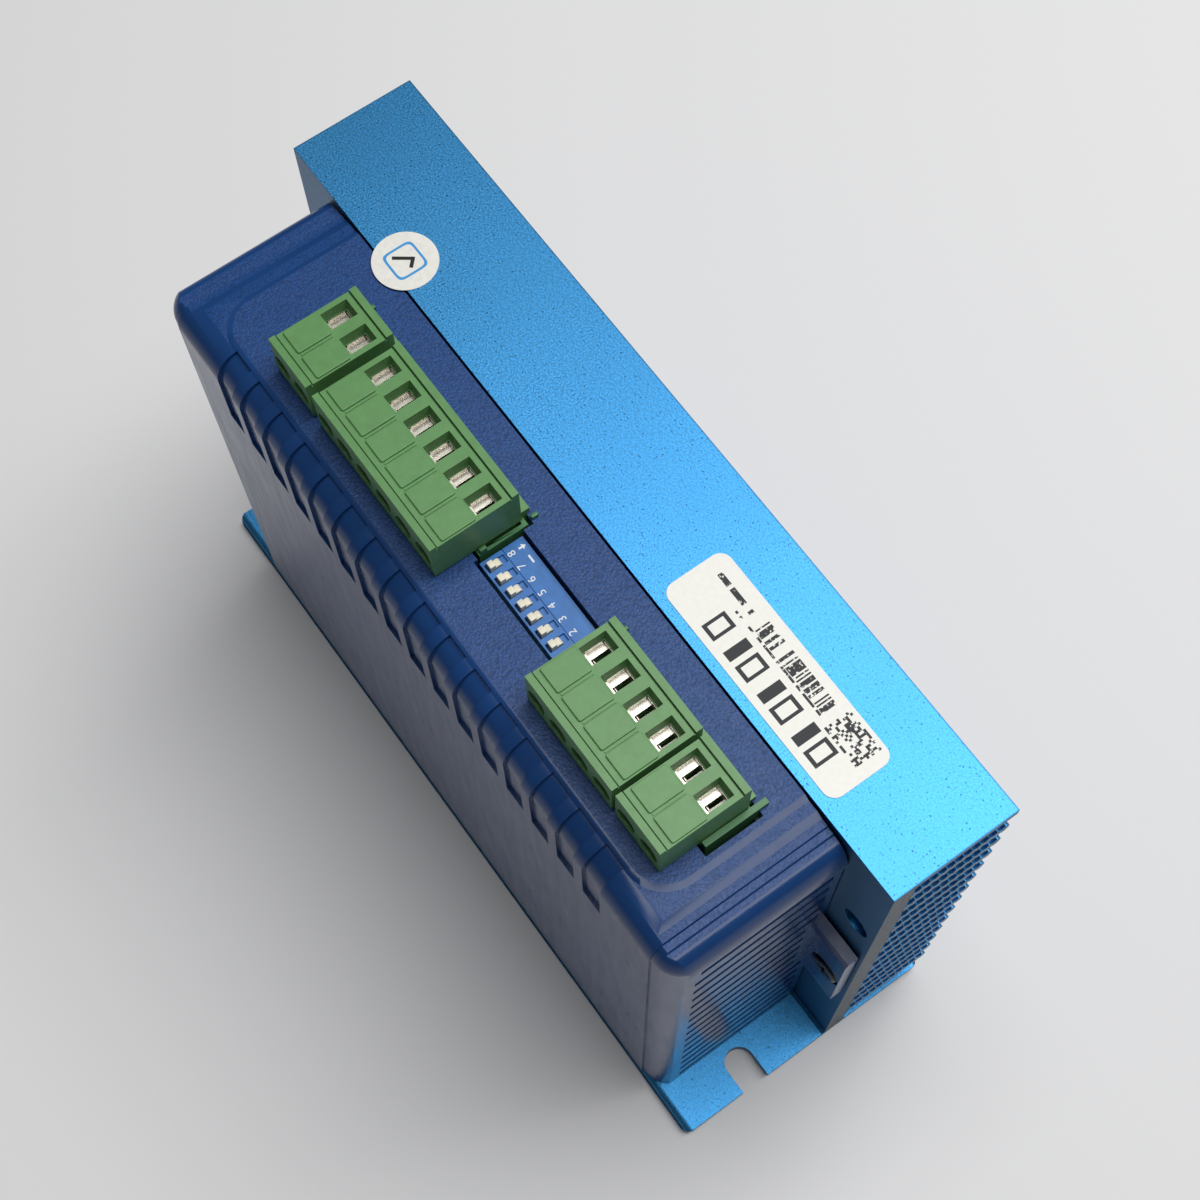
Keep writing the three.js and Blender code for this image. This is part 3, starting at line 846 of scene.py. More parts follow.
class DRIVER_OT_heat_sink(bpy.types.Operator):
    """Builds the finned heat sink"""

    bl_idname = "driver.heat_sink"
    bl_label = "Heat sink"

    def execute(self, context):
        sizes = context.scene.driver_sink
        metal = finish("anodised_aluminium")
        place(sink_channel(sizes), SHELL, "anodised_aluminium", metal, "heat_sink")
        first = prism(
            "heat_sink_fin_01", "x", fin_outline(sizes, FIN_TOP), SINK_LOW.x, SINK_HIGH.x)
        break_edges(first, 0, 1, 38)
        fins = [first] + [
            twin(first, f"heat_sink_fin_{k + 1:02d}", (0, 0, -k * sizes.fin_pitch))
            for k in range(1, sizes.fins)]
        for fin in fins:
            place(fin, SHELL, "anodised_aluminium", metal)
        return {"FINISHED"}


# ---- cover ------------------------------------------------------------------------------
LIP = 0.5 * MM  # how far the plateau stands above the rest of the front
END_INSET = 0.3 * MM  # how far the stepped ends stand back from the long side
END_START = 61.2 * MM
PAST_END, PAST_TOP = 70 * MM, 120 * MM  # outside the cover, for tools that cut through it
LONG_STEPS = 14  # faces round the long edge
# Distance out and drop, in millimetres, of each corner of the stepped ends.
END_STEPS = ((58.6, 0), (59.9, 0.5), (61.1, 0.5), (61.3, 0.8), (62.4, 0.8), (62.65, 1.1))
# Openings for the plugs and the switch, in millimetres: x from, x to, y from, y to.
WINDOWS = ((-44.2, 0.35, -12.2, -2.3), (0.3, 21.0, -12.9, -4.1), (20.95, 55.0, -12.2, -2.3))
LOUVRE_BASE = 5.9 * MM
EAR_LOW, EAR_HIGH, EAR_OUT, EAR_THICK = 37.6 * MM, 60.2 * MM, 74.3 * MM, 2.4 * MM


def cover_end_steps(base, reach):
    """Half outline (x, z) of the stepped ends of the front, from the middle outwards."""
    points = [(out * MM, base - drop * MM) for out, drop in END_STEPS]
    last = points[-1][1]
    radius_x, radius_z = 2.9 * MM, 5.4 * MM
    for i in range(11):
        angle = math.pi / 2 * (1 - i / 10)
        points.append((
            reach - radius_x * (1 - math.cos(angle)), last - radius_z * (1 - math.sin(angle))))
    return points


def corner_cell(side, sizes, front, top):
    """What a ball leaves of a front corner's cell, to be cut away."""
    radius, over = sizes.edge, 2 * MM
    centre = (side * (sizes.reach - radius), front + radius, top - radius)
    span = sorted((centre[0], centre[0] + side * (radius + over)))
    cell = block(
        "cell", (span[0], front - over, centre[2]), (span[1], centre[1], top + over))
    deselect()
    bpy.ops.mesh.primitive_uv_sphere_add(
        segments=64, ring_count=32, radius=radius + 0.02 * MM, location=centre)
    return shape(cell, [settle("ball")])


def cover_body(sizes):
    """Outer form of the cover: three crossed prisms and a raised plateau."""
    low, high = COVER_LOW, COVER_HIGH
    base, front = high.z - LIP, low.y + END_INSET
    edge = [0, 0, 0, sizes.edge]
    body = prism(
        "cover_shell", "x", rounded(low.y, high.y, low.z, base, edge, LONG_STEPS),
        -END_START, END_START)
    for side in (-1, 1):
        ends = sorted((side * (END_START - MM), side * PAST_END))
        end = prism("end", "x", rounded(front, high.y, low.z, base, edge, LONG_STEPS), *ends)
        shape(body, [end], "UNION")
    corners = rounded(
        -sizes.reach, sizes.reach, front, high.y + MM, [sizes.edge, sizes.edge, 0, 0], 16)
    step = END_START + 0.1 * MM
    gap = next(i for i, point in enumerate(corners) if point[0] > 0)
    outline = corners[:gap] + [
        (-step, front), (-step, low.y - MM), (step, low.y - MM), (step, front)] + corners[gap:]
    shape(body, [prism("plan", "z", outline, 0, PAST_TOP)], "INTERSECT")
    right = cover_end_steps(base, sizes.reach)
    right.append((sizes.reach, 0))
    length_line = [(-x, z) for x, z in reversed(right)] + right
    side_view = prism("side_view", "y", length_line, low.y - MM, high.y + MM)
    shape(body, [side_view], "INTERSECT")
    for side in (-1, 1):
        shape(body, [corner_cell(side, sizes, front, base)])
    half, corner, slope = 56.9 * MM, 6.6 * MM, 1.0 * MM
    plateau = prism(
        "plateau", "z",
        rounded(-half, half, low.y + 4.1 * MM, high.y + 2 * MM, [corner, corner, 0, 0], 14),
        high.z - 3 * MM, base)
    raise_top(plateau, slope, high.z - base)
    edit(plateau)
    bpy.ops.mesh.select_all(action="SELECT")
    bpy.ops.mesh.bisect(
        plane_co=(0, high.y, 0), plane_no=(0, 1, 0), use_fill=True, clear_outer=True)
    done()
    return shape(body, [plateau], "UNION")


def bay_cutters(sizes):
    """Shallow pockets that follow the long rounded edge."""
    low, high = COVER_LOW, COVER_HIGH
    depth, radius = sizes.bay_depth, sizes.edge - 0.1 * MM
    inner = rounded(
        low.y + depth, -low.y, low.z, high.z - LIP - depth, [0, 0, 0, radius], LONG_STEPS)
    upper, lower = -21.95 * MM, 81.4 * MM
    curve = [(y, z) for y, z in inner if y < upper - 0.1 * MM and z > lower]
    arc = sorted(set(curve), key=lambda point: (point[1], point[0]))
    wall = [(low.y + depth, lower)] + arc + [(upper, arc[-1][1] + 0.05 * MM)]
    outer = [(upper, high.z + 2 * MM), (low.y - 2 * MM, high.z + 2 * MM), (low.y - 2 * MM, lower)]
    half = sizes.bay / 2
    cutters = []
    for i in range(sizes.bays):
        x = (i - (sizes.bays - 1) / 2) * sizes.bay_pitch
        cutters.append(prism(f"bay_{i}", "x", wall + outer, x - half, x + half))
    return cutters


def louvre_cutters(sizes, side):
    """The slots through an end face, shorter beside its ear."""
    through = sorted((
        side * (sizes.reach - sizes.wall - MM), side * (sizes.reach + MM)))
    slots = []
    for i in range(sizes.louvres):
        z = LOUVRE_BASE + i * sizes.louvre_pitch
        near = (-20.6 if i == sizes.louvres - 1 else -21.5) * MM
        by_ear = EAR_LOW - 2 * MM < z < EAR_HIGH + 2 * MM
        far = COVER_HIGH.y - EAR_THICK - MM if by_ear else 2.6 * MM
        slots.append(block(
            f"louvre_{i}", (through[0], near, z - sizes.louvre / 2),
            (through[1], far, z + sizes.louvre / 2)))
    return slots


def ear_tab(sizes, side):
    """The tab that an ear screw holds, without its hole."""
    inside, back = COVER_HIGH.y - EAR_THICK, COVER_HIGH.y - 0.03 * MM
    span = sorted((side * (sizes.reach - sizes.wall + 0.2 * MM), side * EAR_OUT))
    return prism(
        "ear", "x",
        [(back, EAR_LOW), (back, EAR_HIGH + 1.2 * MM), (inside + 0.5 * MM, EAR_HIGH + 0.9 * MM),
         (inside, EAR_HIGH), (inside, EAR_LOW)],
        *span)


def cover_shell(sizes):
    """The finished cover with its windows, louvres, pockets and ears."""
    low, high = COVER_LOW, COVER_HIGH
    body = cover_body(sizes)
    shape(body, bay_cutters(sizes))
    inner_x = sizes.reach - sizes.wall
    cavity = prism(
        "cavity", "x",
        rounded(low.y + sizes.wall, high.y + MM, low.z - MM, high.z - sizes.wall - 0.9 * MM,
                [0, 0, 0, sizes.edge - sizes.wall], 4),
        -inner_x, inner_x)
    shape(body, [cavity])
    for x0, x1, y0, y1 in WINDOWS:
        shape(body, [block(
            "window", (x0 * MM, y0 * MM, 80 * MM), (x1 * MM, y1 * MM, 110 * MM))])
    recess_depth, recess_top, recess_corner = 0.45 * MM, 90.6 * MM, 5 * MM
    bore_y, bore_depth = high.y - 1.1 * MM - 4 * MM, 8 * MM
    for side in (-1, 1):
        face = sorted((side * (sizes.reach - recess_depth), side * (sizes.reach + MM)))
        shape(body, [prism(
            "recess", "x",
            rounded(low.y + 1.8 * MM, high.y + MM, low.z - MM, recess_top,
                    [0, 0, 0, recess_corner], 8),
            *face)])
        shape(body, louvre_cutters(sizes, side))
        shape(body, [ear_tab(sizes, side)], "UNION")
        x = side * EAR_SCREW_X
        shape(body, [drum(
            "clear", (x, high.y - EAR_THICK, EAR_SCREW_Z), "y", 1.7 * MM, 10 * MM, 32)])
        shape(body, [drum(
            "counterbore", (x, bore_y, EAR_SCREW_Z), "y", 3.2 * MM, bore_depth, 40)])
    return break_edges(body, sizes.edge_break, 2, 50)


def ear_screw(name, low, high):
    """A rounded cross-head screw that fills a CAD screw's box from front to back."""
    x, z = (low.x + high.x) / 2, (low.z + high.z) / 2
    thick, arm, gap, cross_depth = 1.7 * MM, 1.45 * MM, 0.28 * MM, 0.95 * MM
    head = drum(f"ear_screw_{name}", (x, low.y + thick / 2, z), "y", 2.85 * MM, thick, 40)
    round_edges(head, lambda e: all(v.co.y < low.y + 1e-5 for v in e.verts), 0.7 * MM, 5)
    for wide, tall in ((arm, gap), (gap, arm)):
        shape(head, [bar(
            "cross", x, wide, (low.y - MM, z - tall), (low.y + cross_depth, z + tall))])
    shank = drum(
        "shank", (x, (low.y + high.y) / 2 + 0.4 * MM, z), "y", 1.4 * MM,
        high.y - low.y - 0.8 * MM, 24)
    shape(head, [shank], "UNION")
    return break_edges(head, 0.06 * MM, 2, 40)


class DRIVER_OT_cover(bpy.types.Operator):
    """Builds the moulded cover and its two screws"""

    bl_idname = "driver.cover"
    bl_label = "Cover"

    def execute(self, context):
        sizes = context.scene.driver_cover
        place(cover_shell(sizes), SHELL, "cover_plastic", finish("cover_plastic"), "cover")
        for name in ("left", "right"):
            node = f"cover_screw_{name}"
            screw = ear_screw(name, *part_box(node))
            place(screw, SHELL, "black_steel", finish("black_steel"), node)
        return {"FINISHED"}


# ---- terminals --------------------------------------------------------------------------
class Terminal:
    """Where one plug and its poles sit, read from the plug's own CAD node."""

    def __init__(self, tag, pitch):
        self.tag = tag
        self.low, self.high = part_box(f"plug_{tag}")
        width = self.high.x - self.low.x
        poles = round(width / pitch)
        start = self.low.x - (poles * pitch - width) / 2
        self.xs = [start + (i + 0.5) * pitch for i in range(poles)]


PLUG_BASE = 97.6 * MM  # underside of a plug's wide part
CLAMP_Z = 101.3 * MM  # axis of the clamp screws
WIRE_Y = -8.05 * MM  # middle of the wire entries
PIN_Y = -7.25 * MM  # middle of the header's pins
WELL_Y = -15.4 * MM  # floor of the screw wells
CAGE_LOW, CAGE_HIGH = -10.6 * MM, -5.65 * MM  # front and back of the cages
HEAD_MIDDLE, HEAD_FRONT = -16.625 * MM, -17.45 * MM  # of the clamp screws' heads


def wire_well(x, top):
    """Tapered wire entry of one pole."""
    wide, tall, deep, over = 3.3 * MM, 4.8 * MM, 2.6 * MM, 0.6 * MM
    deselect()
    bpy.ops.mesh.primitive_cone_add(
        vertices=4, radius1=0.80, radius2=1.0, depth=1, rotation=(0, 0, math.pi / 4))
    well = settle("well")
    root = math.sqrt(2)
    well.scale = (wide / root, tall / root, deep)
    well.location = (x, WIRE_Y, top + over - deep / 2)
    activate(well)
    bpy.ops.object.transform_apply(location=True, rotation=True, scale=True)
    return well


def plug_body(terminal, sizes):
    """One plug housing with its grooves, marking pads, wire wells and screw holes."""
    low, high = terminal.low, terminal.high
    top, deck = high.z, high.z - sizes.pad_height
    groove_floor = deck - 0.55 * MM
    front, rear = low.y + 1.05 * MM, high.y - 1.15 * MM
    outline = [
        (low.y, PLUG_BASE), (high.y, PLUG_BASE), (high.y, top), (rear, top),
        (rear, groove_floor), (rear - sizes.groove, groove_floor), (rear - sizes.groove, deck),
        (front + sizes.groove, deck), (front + sizes.groove, groove_floor),
        (front, groove_floor), (front, top - 0.05 * MM), (low.y, top - 0.05 * MM)]
    body = prism(f"plug_housing_{terminal.tag}", "x", outline, low.x, high.x)
    header_low, header_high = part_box(f"header_{terminal.tag}")
    tongue = block(
        "tongue", (low.x + 0.6 * MM, header_low.y + MM, low.z),
        (high.x - 0.6 * MM, header_high.y - MM, PLUG_BASE + MM))
    shape(body, [tongue], "UNION")
    pads, sunk = [], deck - 0.4 * MM
    for x in terminal.xs:
        pads.append(prism(
            "pad", "z",
            rounded(x - 2.2 * MM, x + 2.2 * MM, low.y + 2.25 * MM, low.y + 8.1 * MM,
                    [0.3 * MM] * 4, 4), sunk, top - 0.1 * MM))
        raise_top(pads[-1], 0.12 * MM, 0.1 * MM)
    for x in terminal.xs[:-1]:
        pads.append(bar(
            "rib", x + sizes.pitch / 2, 0.16 * MM, (low.y + 2.5 * MM, sunk),
            (low.y + 7.9 * MM, deck + 0.16 * MM)))
    shape(body, pads, "UNION")
    shape(body, [wire_well(x, deck) for x in terminal.xs])
    shape(body, [bar(
        "shaft", x, 1.25 * MM, (WIRE_Y - 1.8 * MM, CLAMP_Z), (WIRE_Y + 1.8 * MM, deck - MM))
        for x in terminal.xs])
    shape(body, [bar(
        "chamber", x, 2.1 * MM, (-13.6 * MM, CLAMP_Z - 2.6 * MM),
        (-5.3 * MM, CLAMP_Z + 2.6 * MM)) for x in terminal.xs])
    shape(body, [drum(
        "screw_well", (x, (low.y - MM + WELL_Y) / 2, CLAMP_Z), "y", 1.95 * MM,
        WELL_Y - low.y + MM, 40) for x in terminal.xs])
    shape(body, [drum("bore", (x, -14.5 * MM, CLAMP_Z), "y", 1.4 * MM, 2.2 * MM, 24)
                 for x in terminal.xs])
    hole = 0.85 * MM
    shape(body, [bar(
        "pin_hole", x, hole, (PIN_Y - hole, low.z - MM), (PIN_Y + hole, CLAMP_Z))
        for x in terminal.xs])
    return break_edges(body, sizes.edge_break, 2, 40)


def header_shell(terminal):
    """One header with its pins and the latches that stand at its free ends."""
    node = f"header_{terminal.tag}"
    low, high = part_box(node)
    body = copy_of(node, f"pin_header_{terminal.tag}")
    wall, root = 0.65 * MM, high.z - 2 * MM
    latch_x = {"a": low.x, "b": high.x - wall, "c": low.x}
    if terminal.tag in latch_x:
        x = latch_x[terminal.tag]
        for y in (low.y + 0.3 * MM, high.y - 1.5 * MM):
            shape(body, [block(
                "latch", (x, y, root), (x + wall, y + 1.2 * MM, PLUG_BASE + 0.35 * MM))],
                "UNION")
    else:
        shape(body, [block(
            "flange", (high.x - wall, low.y, root),
            (high.x + 0.3 * MM, high.y, PLUG_BASE + 0.7 * MM))], "UNION")
    return break_edges(body, 0.1 * MM, 2, 40)


def clamp_screw():
    """A slotted clamp screw with a rolled thread, at X = 0."""
    screw = drum("clamp_screw", (0, HEAD_MIDDLE, CLAMP_Z), "y", 1.75 * MM, 1.75 * MM, 40)
    round_edges(screw, lambda e: all(v.co.y < HEAD_FRONT for v in e.verts), 0.3 * MM, 3)
    shape(screw, [bar(
        "slot", 0, 3 * MM, (-19 * MM, CLAMP_Z - 0.3 * MM), (-16.8 * MM, CLAMP_Z + 0.3 * MM))])
    start, end, turn = -15.9 * MM, -9.75 * MM, 0.5 * MM
    shank = drum("shank", (0, (start + end) / 2, CLAMP_Z), "y", 1.1 * MM, end - start, 24)
    rings = int((end - start) / turn) * 2 - 1
    places = [start + 0.25 * MM + i * turn / 2 for i in range(rings)]
    edit(shank)
    slice_at("y", places)
    for place_y in places[1::2]:
        pick(shank, "EDGE", lambda e: all(abs(v.co.y - place_y) < 1e-6 for v in e.verts))
        bpy.ops.transform.resize(value=(0.86, 1, 0.86), center_override=(0, place_y, CLAMP_Z))
    done()
    shape(screw, [shank], "UNION")
    return break_edges(screw, 0.04 * MM, 1, 45)


def clamp_cage():
    """A folded wire clamp with its thread hole, at X = 0."""
    half = 2.2 * MM
    cage = bar(
        "clamp_cage", 0, 1.9 * MM, (CAGE_LOW, CLAMP_Z - half), (CAGE_HIGH, CLAMP_Z + half))
    round_edges(
        cage, lambda e: abs(e.verts[0].co.z - e.verts[1].co.z) > MM, 0.45 * MM, 4)
    shape(cage, [prism(
        "opening", "z",
        rounded(-1.4 * MM, 1.4 * MM, -9.5 * MM, -6.35 * MM, [0.2 * MM] * 4, 3),
        CLAMP_Z - 4 * MM, CLAMP_Z + 4 * MM)])
    shape(cage, [drum("thread", (0, -10 * MM, CLAMP_Z), "y", 1.3 * MM, 2 * MM, 32)])
    tooth_half, tooth_pitch = 0.2 * MM, 0.8 * MM
    for i in range(4):
        z = CLAMP_Z + (i - 1.5) * tooth_pitch
        shape(cage, [prism(
            "tooth", "x",
            [(-6.5 * MM, z - tooth_half), (-6.15 * MM, z), (-6.5 * MM, z + tooth_half)],
            -1.3 * MM, 1.3 * MM)])
    # Two flat tongues in the wire hole, in millimetres from the screw's axis: x, z.
    lips = (
        ((-1.45, 1.55), (-1.45, 1.22), (-0.15, 1.22), (-0.15, 1.55)),
        ((1.45, 1.62), (0.6, 1.5), (0.6, 1.22), (1.45, 1.3)))
    for lip in lips:
        shape(cage, [prism(
            "lip", "y", [(a * MM, CLAMP_Z + b * MM) for a, b in lip],
            -9.6 * MM, -6.25 * MM)], "UNION")
    shape(cage, [block(
        "fold_line", (0.35 * MM, -5.95 * MM, CLAMP_Z - 3 * MM),
        (0.45 * MM, -5.5 * MM, CLAMP_Z + 3 * MM))])
    return break_edges(cage, 0.07 * MM, 2, 40)


def contact_bar():
    """The folded contact that the wire is clamped against, at X = 0."""
    low = CLAMP_Z - 2.5 * MM
    outline = [
        (-9.4 * MM, low), (-8.95 * MM, low), (-8.95 * MM, CLAMP_Z + 0.5 * MM),
        (-8.75 * MM, CLAMP_Z + 0.95 * MM), (-9.0 * MM, CLAMP_Z + 1.05 * MM),
        (-9.4 * MM, CLAMP_Z + 0.6 * MM)]
    contact = prism("contact_bar", "x", outline, -1.22 * MM, 1.22 * MM)
    return break_edges(contact, 0.06 * MM, 2, 40)


class DRIVER_OT_plugs(bpy.types.Operator):
    """Builds the four plug housings"""

    bl_idname = "driver.plugs"
    bl_label = "Plug housings"

    def execute(self, context):
        sizes = context.scene.driver_terminals
        for tag in PLUG_TAGS:
            body = plug_body(Terminal(tag, sizes.pitch), sizes)
            place(body, f"plug_{tag}", "plug_plastic", finish("plug_plastic"), f"plug_{tag}")
        return {"FINISHED"}


class DRIVER_OT_headers(bpy.types.Operator):
    """Builds the four pin headers"""

    bl_idname = "driver.headers"
    bl_label = "Pin headers"

    def execute(self, context):
        sizes = context.scene.driver_terminals
        for tag in PLUG_TAGS:
            body = header_shell(Terminal(tag, sizes.pitch))
            place(body, SHELL, "header_plastic", finish("header_plastic"), f"header_{tag}")
        return {"FINISHED"}


class DRIVER_OT_clamps(bpy.types.Operator):
    """Builds the screw, cage and contact of every pole"""

    bl_idname = "driver.clamps"
    bl_label = "Wire clamps"

    def execute(self, context):
        sizes = context.scene.driver_terminals
        models = clamp_screw(), clamp_cage(), contact_bar()
        for tag in PLUG_TAGS:
            for i, x in enumerate(Terminal(tag, sizes.pitch).xs):
                key = f"{tag}{i + 1}"
                screw, cage, contact = (
                    twin(model, f"{name}_{key}", (x, 0, 0))
                    for model, name in zip(models, ("slotted_screw", "wire_cage", "contact_bar")))
                place(screw, f"screw_{key}", "screw_steel", finish("screw_steel"),
                      f"clamp_screw_{key}")
                place(cage, f"cage_{key}", "nickel_plate", finish("nickel_plate"),
                      f"clamp_cage_{key}")
                place(contact, f"plug_{tag}", "nickel_plate", finish("nickel_plate"))
        for model in models:
            bpy.data.objects.remove(model, do_unlink=True)
        return {"FINISHED"}


# ---- switch block -----------------------------------------------------------------------
PRINT_Z, PRINT_HALF = DIP_HIGH.z + 0.005 * MM, 0.012 * MM  # middle and half height of print
NUMERAL_Y, NUMERAL_SIZE = -7.35 * MM, 1.75 * MM
ARROW_Y = -5.55 * MM
# Outlines in millimetres: the arrow's x, y, and a slider's y and height over the block.
ARROW = ((0.0, 0.62), (-0.5, 0.0), (-0.16, 0.0), (-0.16, -0.6), (0.16, -0.6), (0.16, 0.0),
         (0.5, 0.0))
KNOB = (
    (-11.45, -1.9), (-10.4, -1.9), (-10.4, -0.42), (-9.38, -0.42), (-9.38, -0.1),
    (-9.5, 0.16), (-9.75, 0.32), (-10.05, 0.34), (-10.35, 0.24), (-10.45, 0.15),
    (-10.5, 1.0), (-11.4, 1.0), (-11.45, 0.9))


def slider_middle(number):
    """Where a numbered slider sits along X."""
    low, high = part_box(f"dip_slider_{number}")
    return (low.x + high.x) / 2


def digit(number, x):
    """A numeral on the switch block, its top towards -Y."""
    deselect()
    bpy.ops.object.text_add(location=(x, NUMERAL_Y, PRINT_Z), rotation=(0, 0, math.pi))
    ob = bpy.context.object
    ob.data.body = str(number)
    ob.data.size = NUMERAL_SIZE
    ob.data.extrude = PRINT_HALF
    ob.data.align_x = "CENTER"
    ob.data.align_y = "CENTER"
    ob.data.resolution_u = 4
    activate(ob)
    bpy.ops.object.convert(target="MESH")
    return settle(f"numeral_{number}")


def switch_knob(number, x):
    """A slider with its upright post and its rounded heel."""
    knob = prism(
        f"switch_knob_{number}", "x", [(y * MM, DIP_HIGH.z + z * MM) for y, z in KNOB],
        x - 0.6 * MM, x + 0.6 * MM)
    return break_edges(knob, 0.09 * MM, 2, 35)


def switch_body(middles):
    """The block, with a slot and a ledge for every slider and a line beside them."""
    low, high = DIP_LOW, DIP_HIGH
    body = block("switch_block", low, high)
    shape(body, [bar(
        "slot", x, 0.75 * MM, (-11.75 * MM, low.z + 1.4 * MM), (-9.4 * MM, high.z + MM))
        for x in middles])
    shape(body, [bar(
        "ledge", x, 0.7 * MM, (-9.6 * MM, high.z - 0.5 * MM), (-8.45 * MM, high.z + 0.8 * MM))
        for x in middles])
    shape(body, [block(
        "line", (low.x - MM, -8.32 * MM, high.z - 0.2 * MM),
        (high.x + MM, -8.12 * MM, high.z + MM))])
    return break_edges(body, 0.1 * MM, 2, 40)


def switch_print(middles):
    """Numerals, an arrow and a dash, as one piece."""
    marks = [digit(number, x) for number, x in middles.items()]
    low, high = PRINT_Z - PRINT_HALF, PRINT_Z + PRINT_HALF
    marks.append(prism(
        "arrow", "z", [(middles[8] + a * MM, ARROW_Y + b * MM) for a, b in ARROW], low, high))
    marks.append(block(
        "dash", (middles[7] - 0.9 * MM, ARROW_Y - 0.15 * MM, low),
        (middles[7] + 0.5 * MM, ARROW_Y + 0.15 * MM, high)))
    numerals = merge(marks)
    numerals.name = "switch_numerals"
    numerals.data.name = "switch_numerals"
    edit(numerals)
    weld(1e-7)
    bpy.ops.mesh.select_all(action="SELECT")
    bpy.ops.mesh.normals_make_consistent(inside=False)
    done()
    return numerals


class DRIVER_OT_switch(bpy.types.Operator):
    """Builds the switch block, its sliders and its numerals"""

    bl_idname = "driver.switch"
    bl_label = "Switch block"

    def execute(self, context):
        middles = {number: slider_middle(number) for number in range(1, 9)}
        place(switch_body(middles.values()), SHELL, "switch_plastic", finish("switch_plastic"),
              "dip_body")
        place(switch_print(middles), SHELL, "slider_plastic", finish("white_print"))
        for number, x in middles.items():
            place(switch_knob(number, x), f"switch_{number}", "slider_plastic",
                  finish("slider_plastic"), f"dip_slider_{number}")
        return {"FINISHED"}


# ---- labels and inner parts -------------------------------------------------------------
class DRIVER_OT_labels(bpy.types.Operator):
    """Builds the type label and the round sticker"""

    bl_idname = "driver.labels"
    bl_label = "Labels"

    def execute(self, context):
        low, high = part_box("type_label")
        plate = prism(
            "type_plate", "z", rounded(low.x, high.x, low.y, high.y, [2 * MM] * 4, 10),
            low.z, high.z)
        break_edges(plate, 0.03 * MM, 1, 40)
        place(plate, SHELL, "label_paper", finish("label_paper"), "type_label")
        low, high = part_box("round_sticker")
        middle = (low + high) / 2
        disc = drum("round_plate", middle, "z", (high.x - low.x) / 2, high.z - low.z, 96)
        break_edges(disc, 0.03 * MM, 1, 40)
        place(disc, SHELL, "label_paper", finish("round_label"), "round_sticker")
        return {"FINISHED"}


class DRIVER_OT_inner_parts(bpy.types.Operator):
    """Finishes the boards and the parts inside the cover"""

    bl_idname = "driver.inner_parts"
    bl_label = "Inner parts"

    def execute(self, context):
        looks = {
            "main_board": "circuit_board", "dip_board": "switch_board",
            "capacitor_left": "capacitor_left", "capacitor_right": "capacitor_right",
            "power_package_left": "epoxy", "power_package_right": "epoxy",
            "thermal_pad": "silicone_pad", "dc_choke": "copper_wire"}
        for node, look in looks.items():
            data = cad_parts[node].data
            data.materials.clear()
            data.materials.append(finish(look))
        return {"FINISHED"}


# ---- stage ------------------------------------------------------------------------------
# The camera's place, then its directions in the world.
CAMERA_PLACE = (0.10534, -0.06308, 0.34993)
CAMERA_RIGHT = Vector((0.58496, 0.81100, -0.00999))
CAMERA_DOWN = Vector((0.75729, -0.55054, -0.35132))
CAMERA_AHEAD = Vector((-0.29042, 0.19794, -0.93620))
LIGHT_PLACE, LIGHT_TARGET = (0.055, 0.42, 1.13), (0.055, 0.37, 0.0)
LIGHT_SIZE, LIGHT_POWER = (0.78, 1.15), 14.2
WORLD_STRENGTH = 0.06
FLOOR_SIZE, FLOOR_TONE = 8, (0.86, 0.86, 0.865)


def softbox():
    """A rectangular light that faces a point."""
    data = bpy.data.lights.new("overhead_softbox", "AREA")
    data.shape = "RECTANGLE"
    data.size, data.size_y = LIGHT_SIZE
    data.energy = LIGHT_POWER
    ob = bpy.data.objects.new("overhead_softbox", data)
    bpy.context.collection.objects.link(ob)
    ob.location = LIGHT_PLACE
    ahead = Vector(LIGHT_TARGET) - Vector(LIGHT_PLACE)
    ob.rotation_euler = ahead.to_track_quat("-Z", "Y").to_euler()


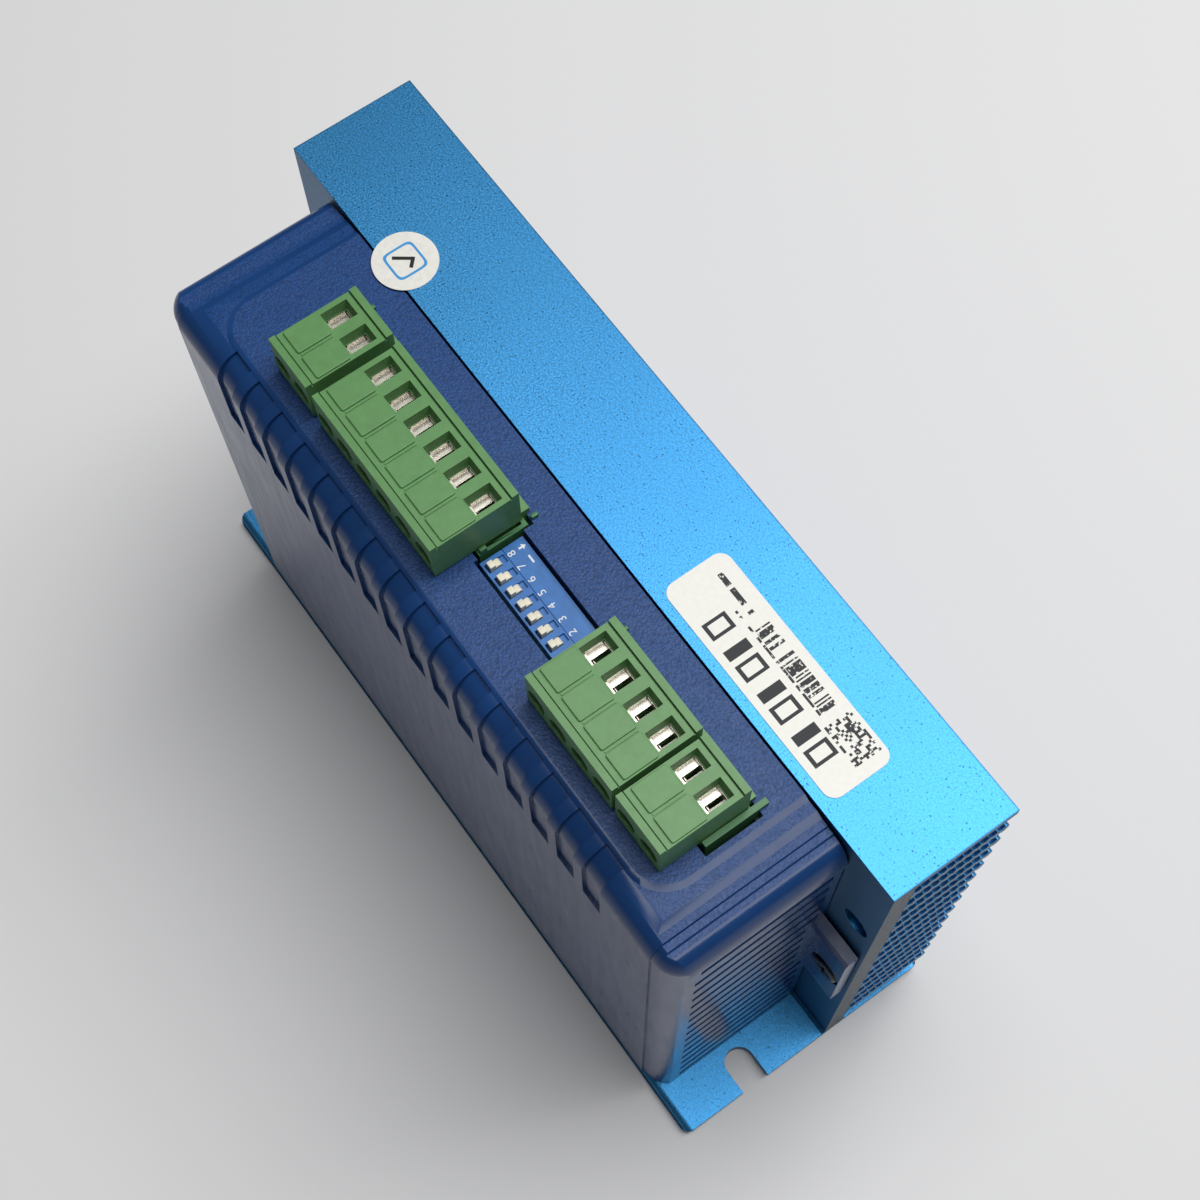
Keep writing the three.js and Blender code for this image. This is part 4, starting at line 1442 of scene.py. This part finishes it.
class DRIVER_OT_stage(bpy.types.Operator):
    """Sets the floor, the lights and the camera"""

    bl_idname = "driver.stage"
    bl_label = "Stage"

    def execute(self, context):
        scene = context.scene
        deselect()
        bpy.ops.mesh.primitive_plane_add(
            size=FLOOR_SIZE, location=(0, 0, CAD_LOW.z - 0.05 * MM))
        floor = bpy.context.object
        floor.name = "floor"
        pale = Finish("pale_floor", rough=0.9, sheen=0.1)
        pale.set("Base Color", FLOOR_TONE)
        floor.data.materials.append(pale.material)
        softbox()
        world = bpy.data.worlds.new("studio")
        scene.world = world
        world.use_nodes = True
        background = world.node_tree.nodes["Background"]
        background.inputs["Color"].default_value = (1, 1, 1, 1)
        background.inputs["Strength"].default_value = WORLD_STRENGTH
        data = bpy.data.cameras.new("camera")
        camera = bpy.data.objects.new("camera", data)
        context.collection.objects.link(camera)
        turn = Matrix((CAMERA_RIGHT, -CAMERA_DOWN, -CAMERA_AHEAD)).transposed().to_4x4()
        camera.matrix_world = Matrix.Translation(CAMERA_PLACE) @ turn
        data.sensor_width = 36
        data.lens = 57.71
        data.shift_y = 0.075
        data.clip_start, data.clip_end = 0.01, 50
        scene.camera = camera
        scene.view_settings.view_transform = "Standard"
        return {"FINISHED"}


class DRIVER_PT_panel(bpy.types.Panel):
    """Lists the driver's pieces and their sizes"""

    bl_idname = "DRIVER_PT_panel"
    bl_label = "Stepper Driver"
    bl_space_type = "VIEW_3D"
    bl_region_type = "UI"
    bl_category = "Driver"

    def draw(self, context):
        column = self.layout.column()
        for operator in OPERATORS:
            column.operator(operator.bl_idname)
        for name in GROUPS:
            box = column.box()
            group = getattr(context.scene, name)
            for key in group.bl_rna.properties.keys():
                if key not in ("rna_type", "name"):
                    box.prop(group, key)


OPERATORS = (
    DRIVER_OT_stage, DRIVER_OT_heat_sink, DRIVER_OT_cover, DRIVER_OT_headers, DRIVER_OT_plugs,
    DRIVER_OT_clamps, DRIVER_OT_switch, DRIVER_OT_labels, DRIVER_OT_inner_parts)
GROUPS = {
    "driver_sink": DriverSinkSizes, "driver_cover": DriverCoverSizes,
    "driver_terminals": DriverTerminalSizes, "driver_finishes": DriverFinishes}


def register():
    """Registers the settings, the operators and the panel."""
    for name, group in GROUPS.items():
        bpy.utils.register_class(group)
        setattr(bpy.types.Scene, name, bpy.props.PointerProperty(type=group))
    for operator in OPERATORS:
        bpy.utils.register_class(operator)
    bpy.utils.register_class(DRIVER_PT_panel)


def unregister():
    """Takes them away again."""
    bpy.utils.unregister_class(DRIVER_PT_panel)
    for operator in reversed(OPERATORS):
        bpy.utils.unregister_class(operator)
    for name, group in GROUPS.items():
        delattr(bpy.types.Scene, name)
        bpy.utils.unregister_class(group)


def main():
    """Registers the add-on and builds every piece."""
    register()
    for operator in OPERATORS:
        group, name = operator.bl_idname.split(".")
        getattr(getattr(bpy.ops, group), name)()


if __name__ == "__main__":
    main()
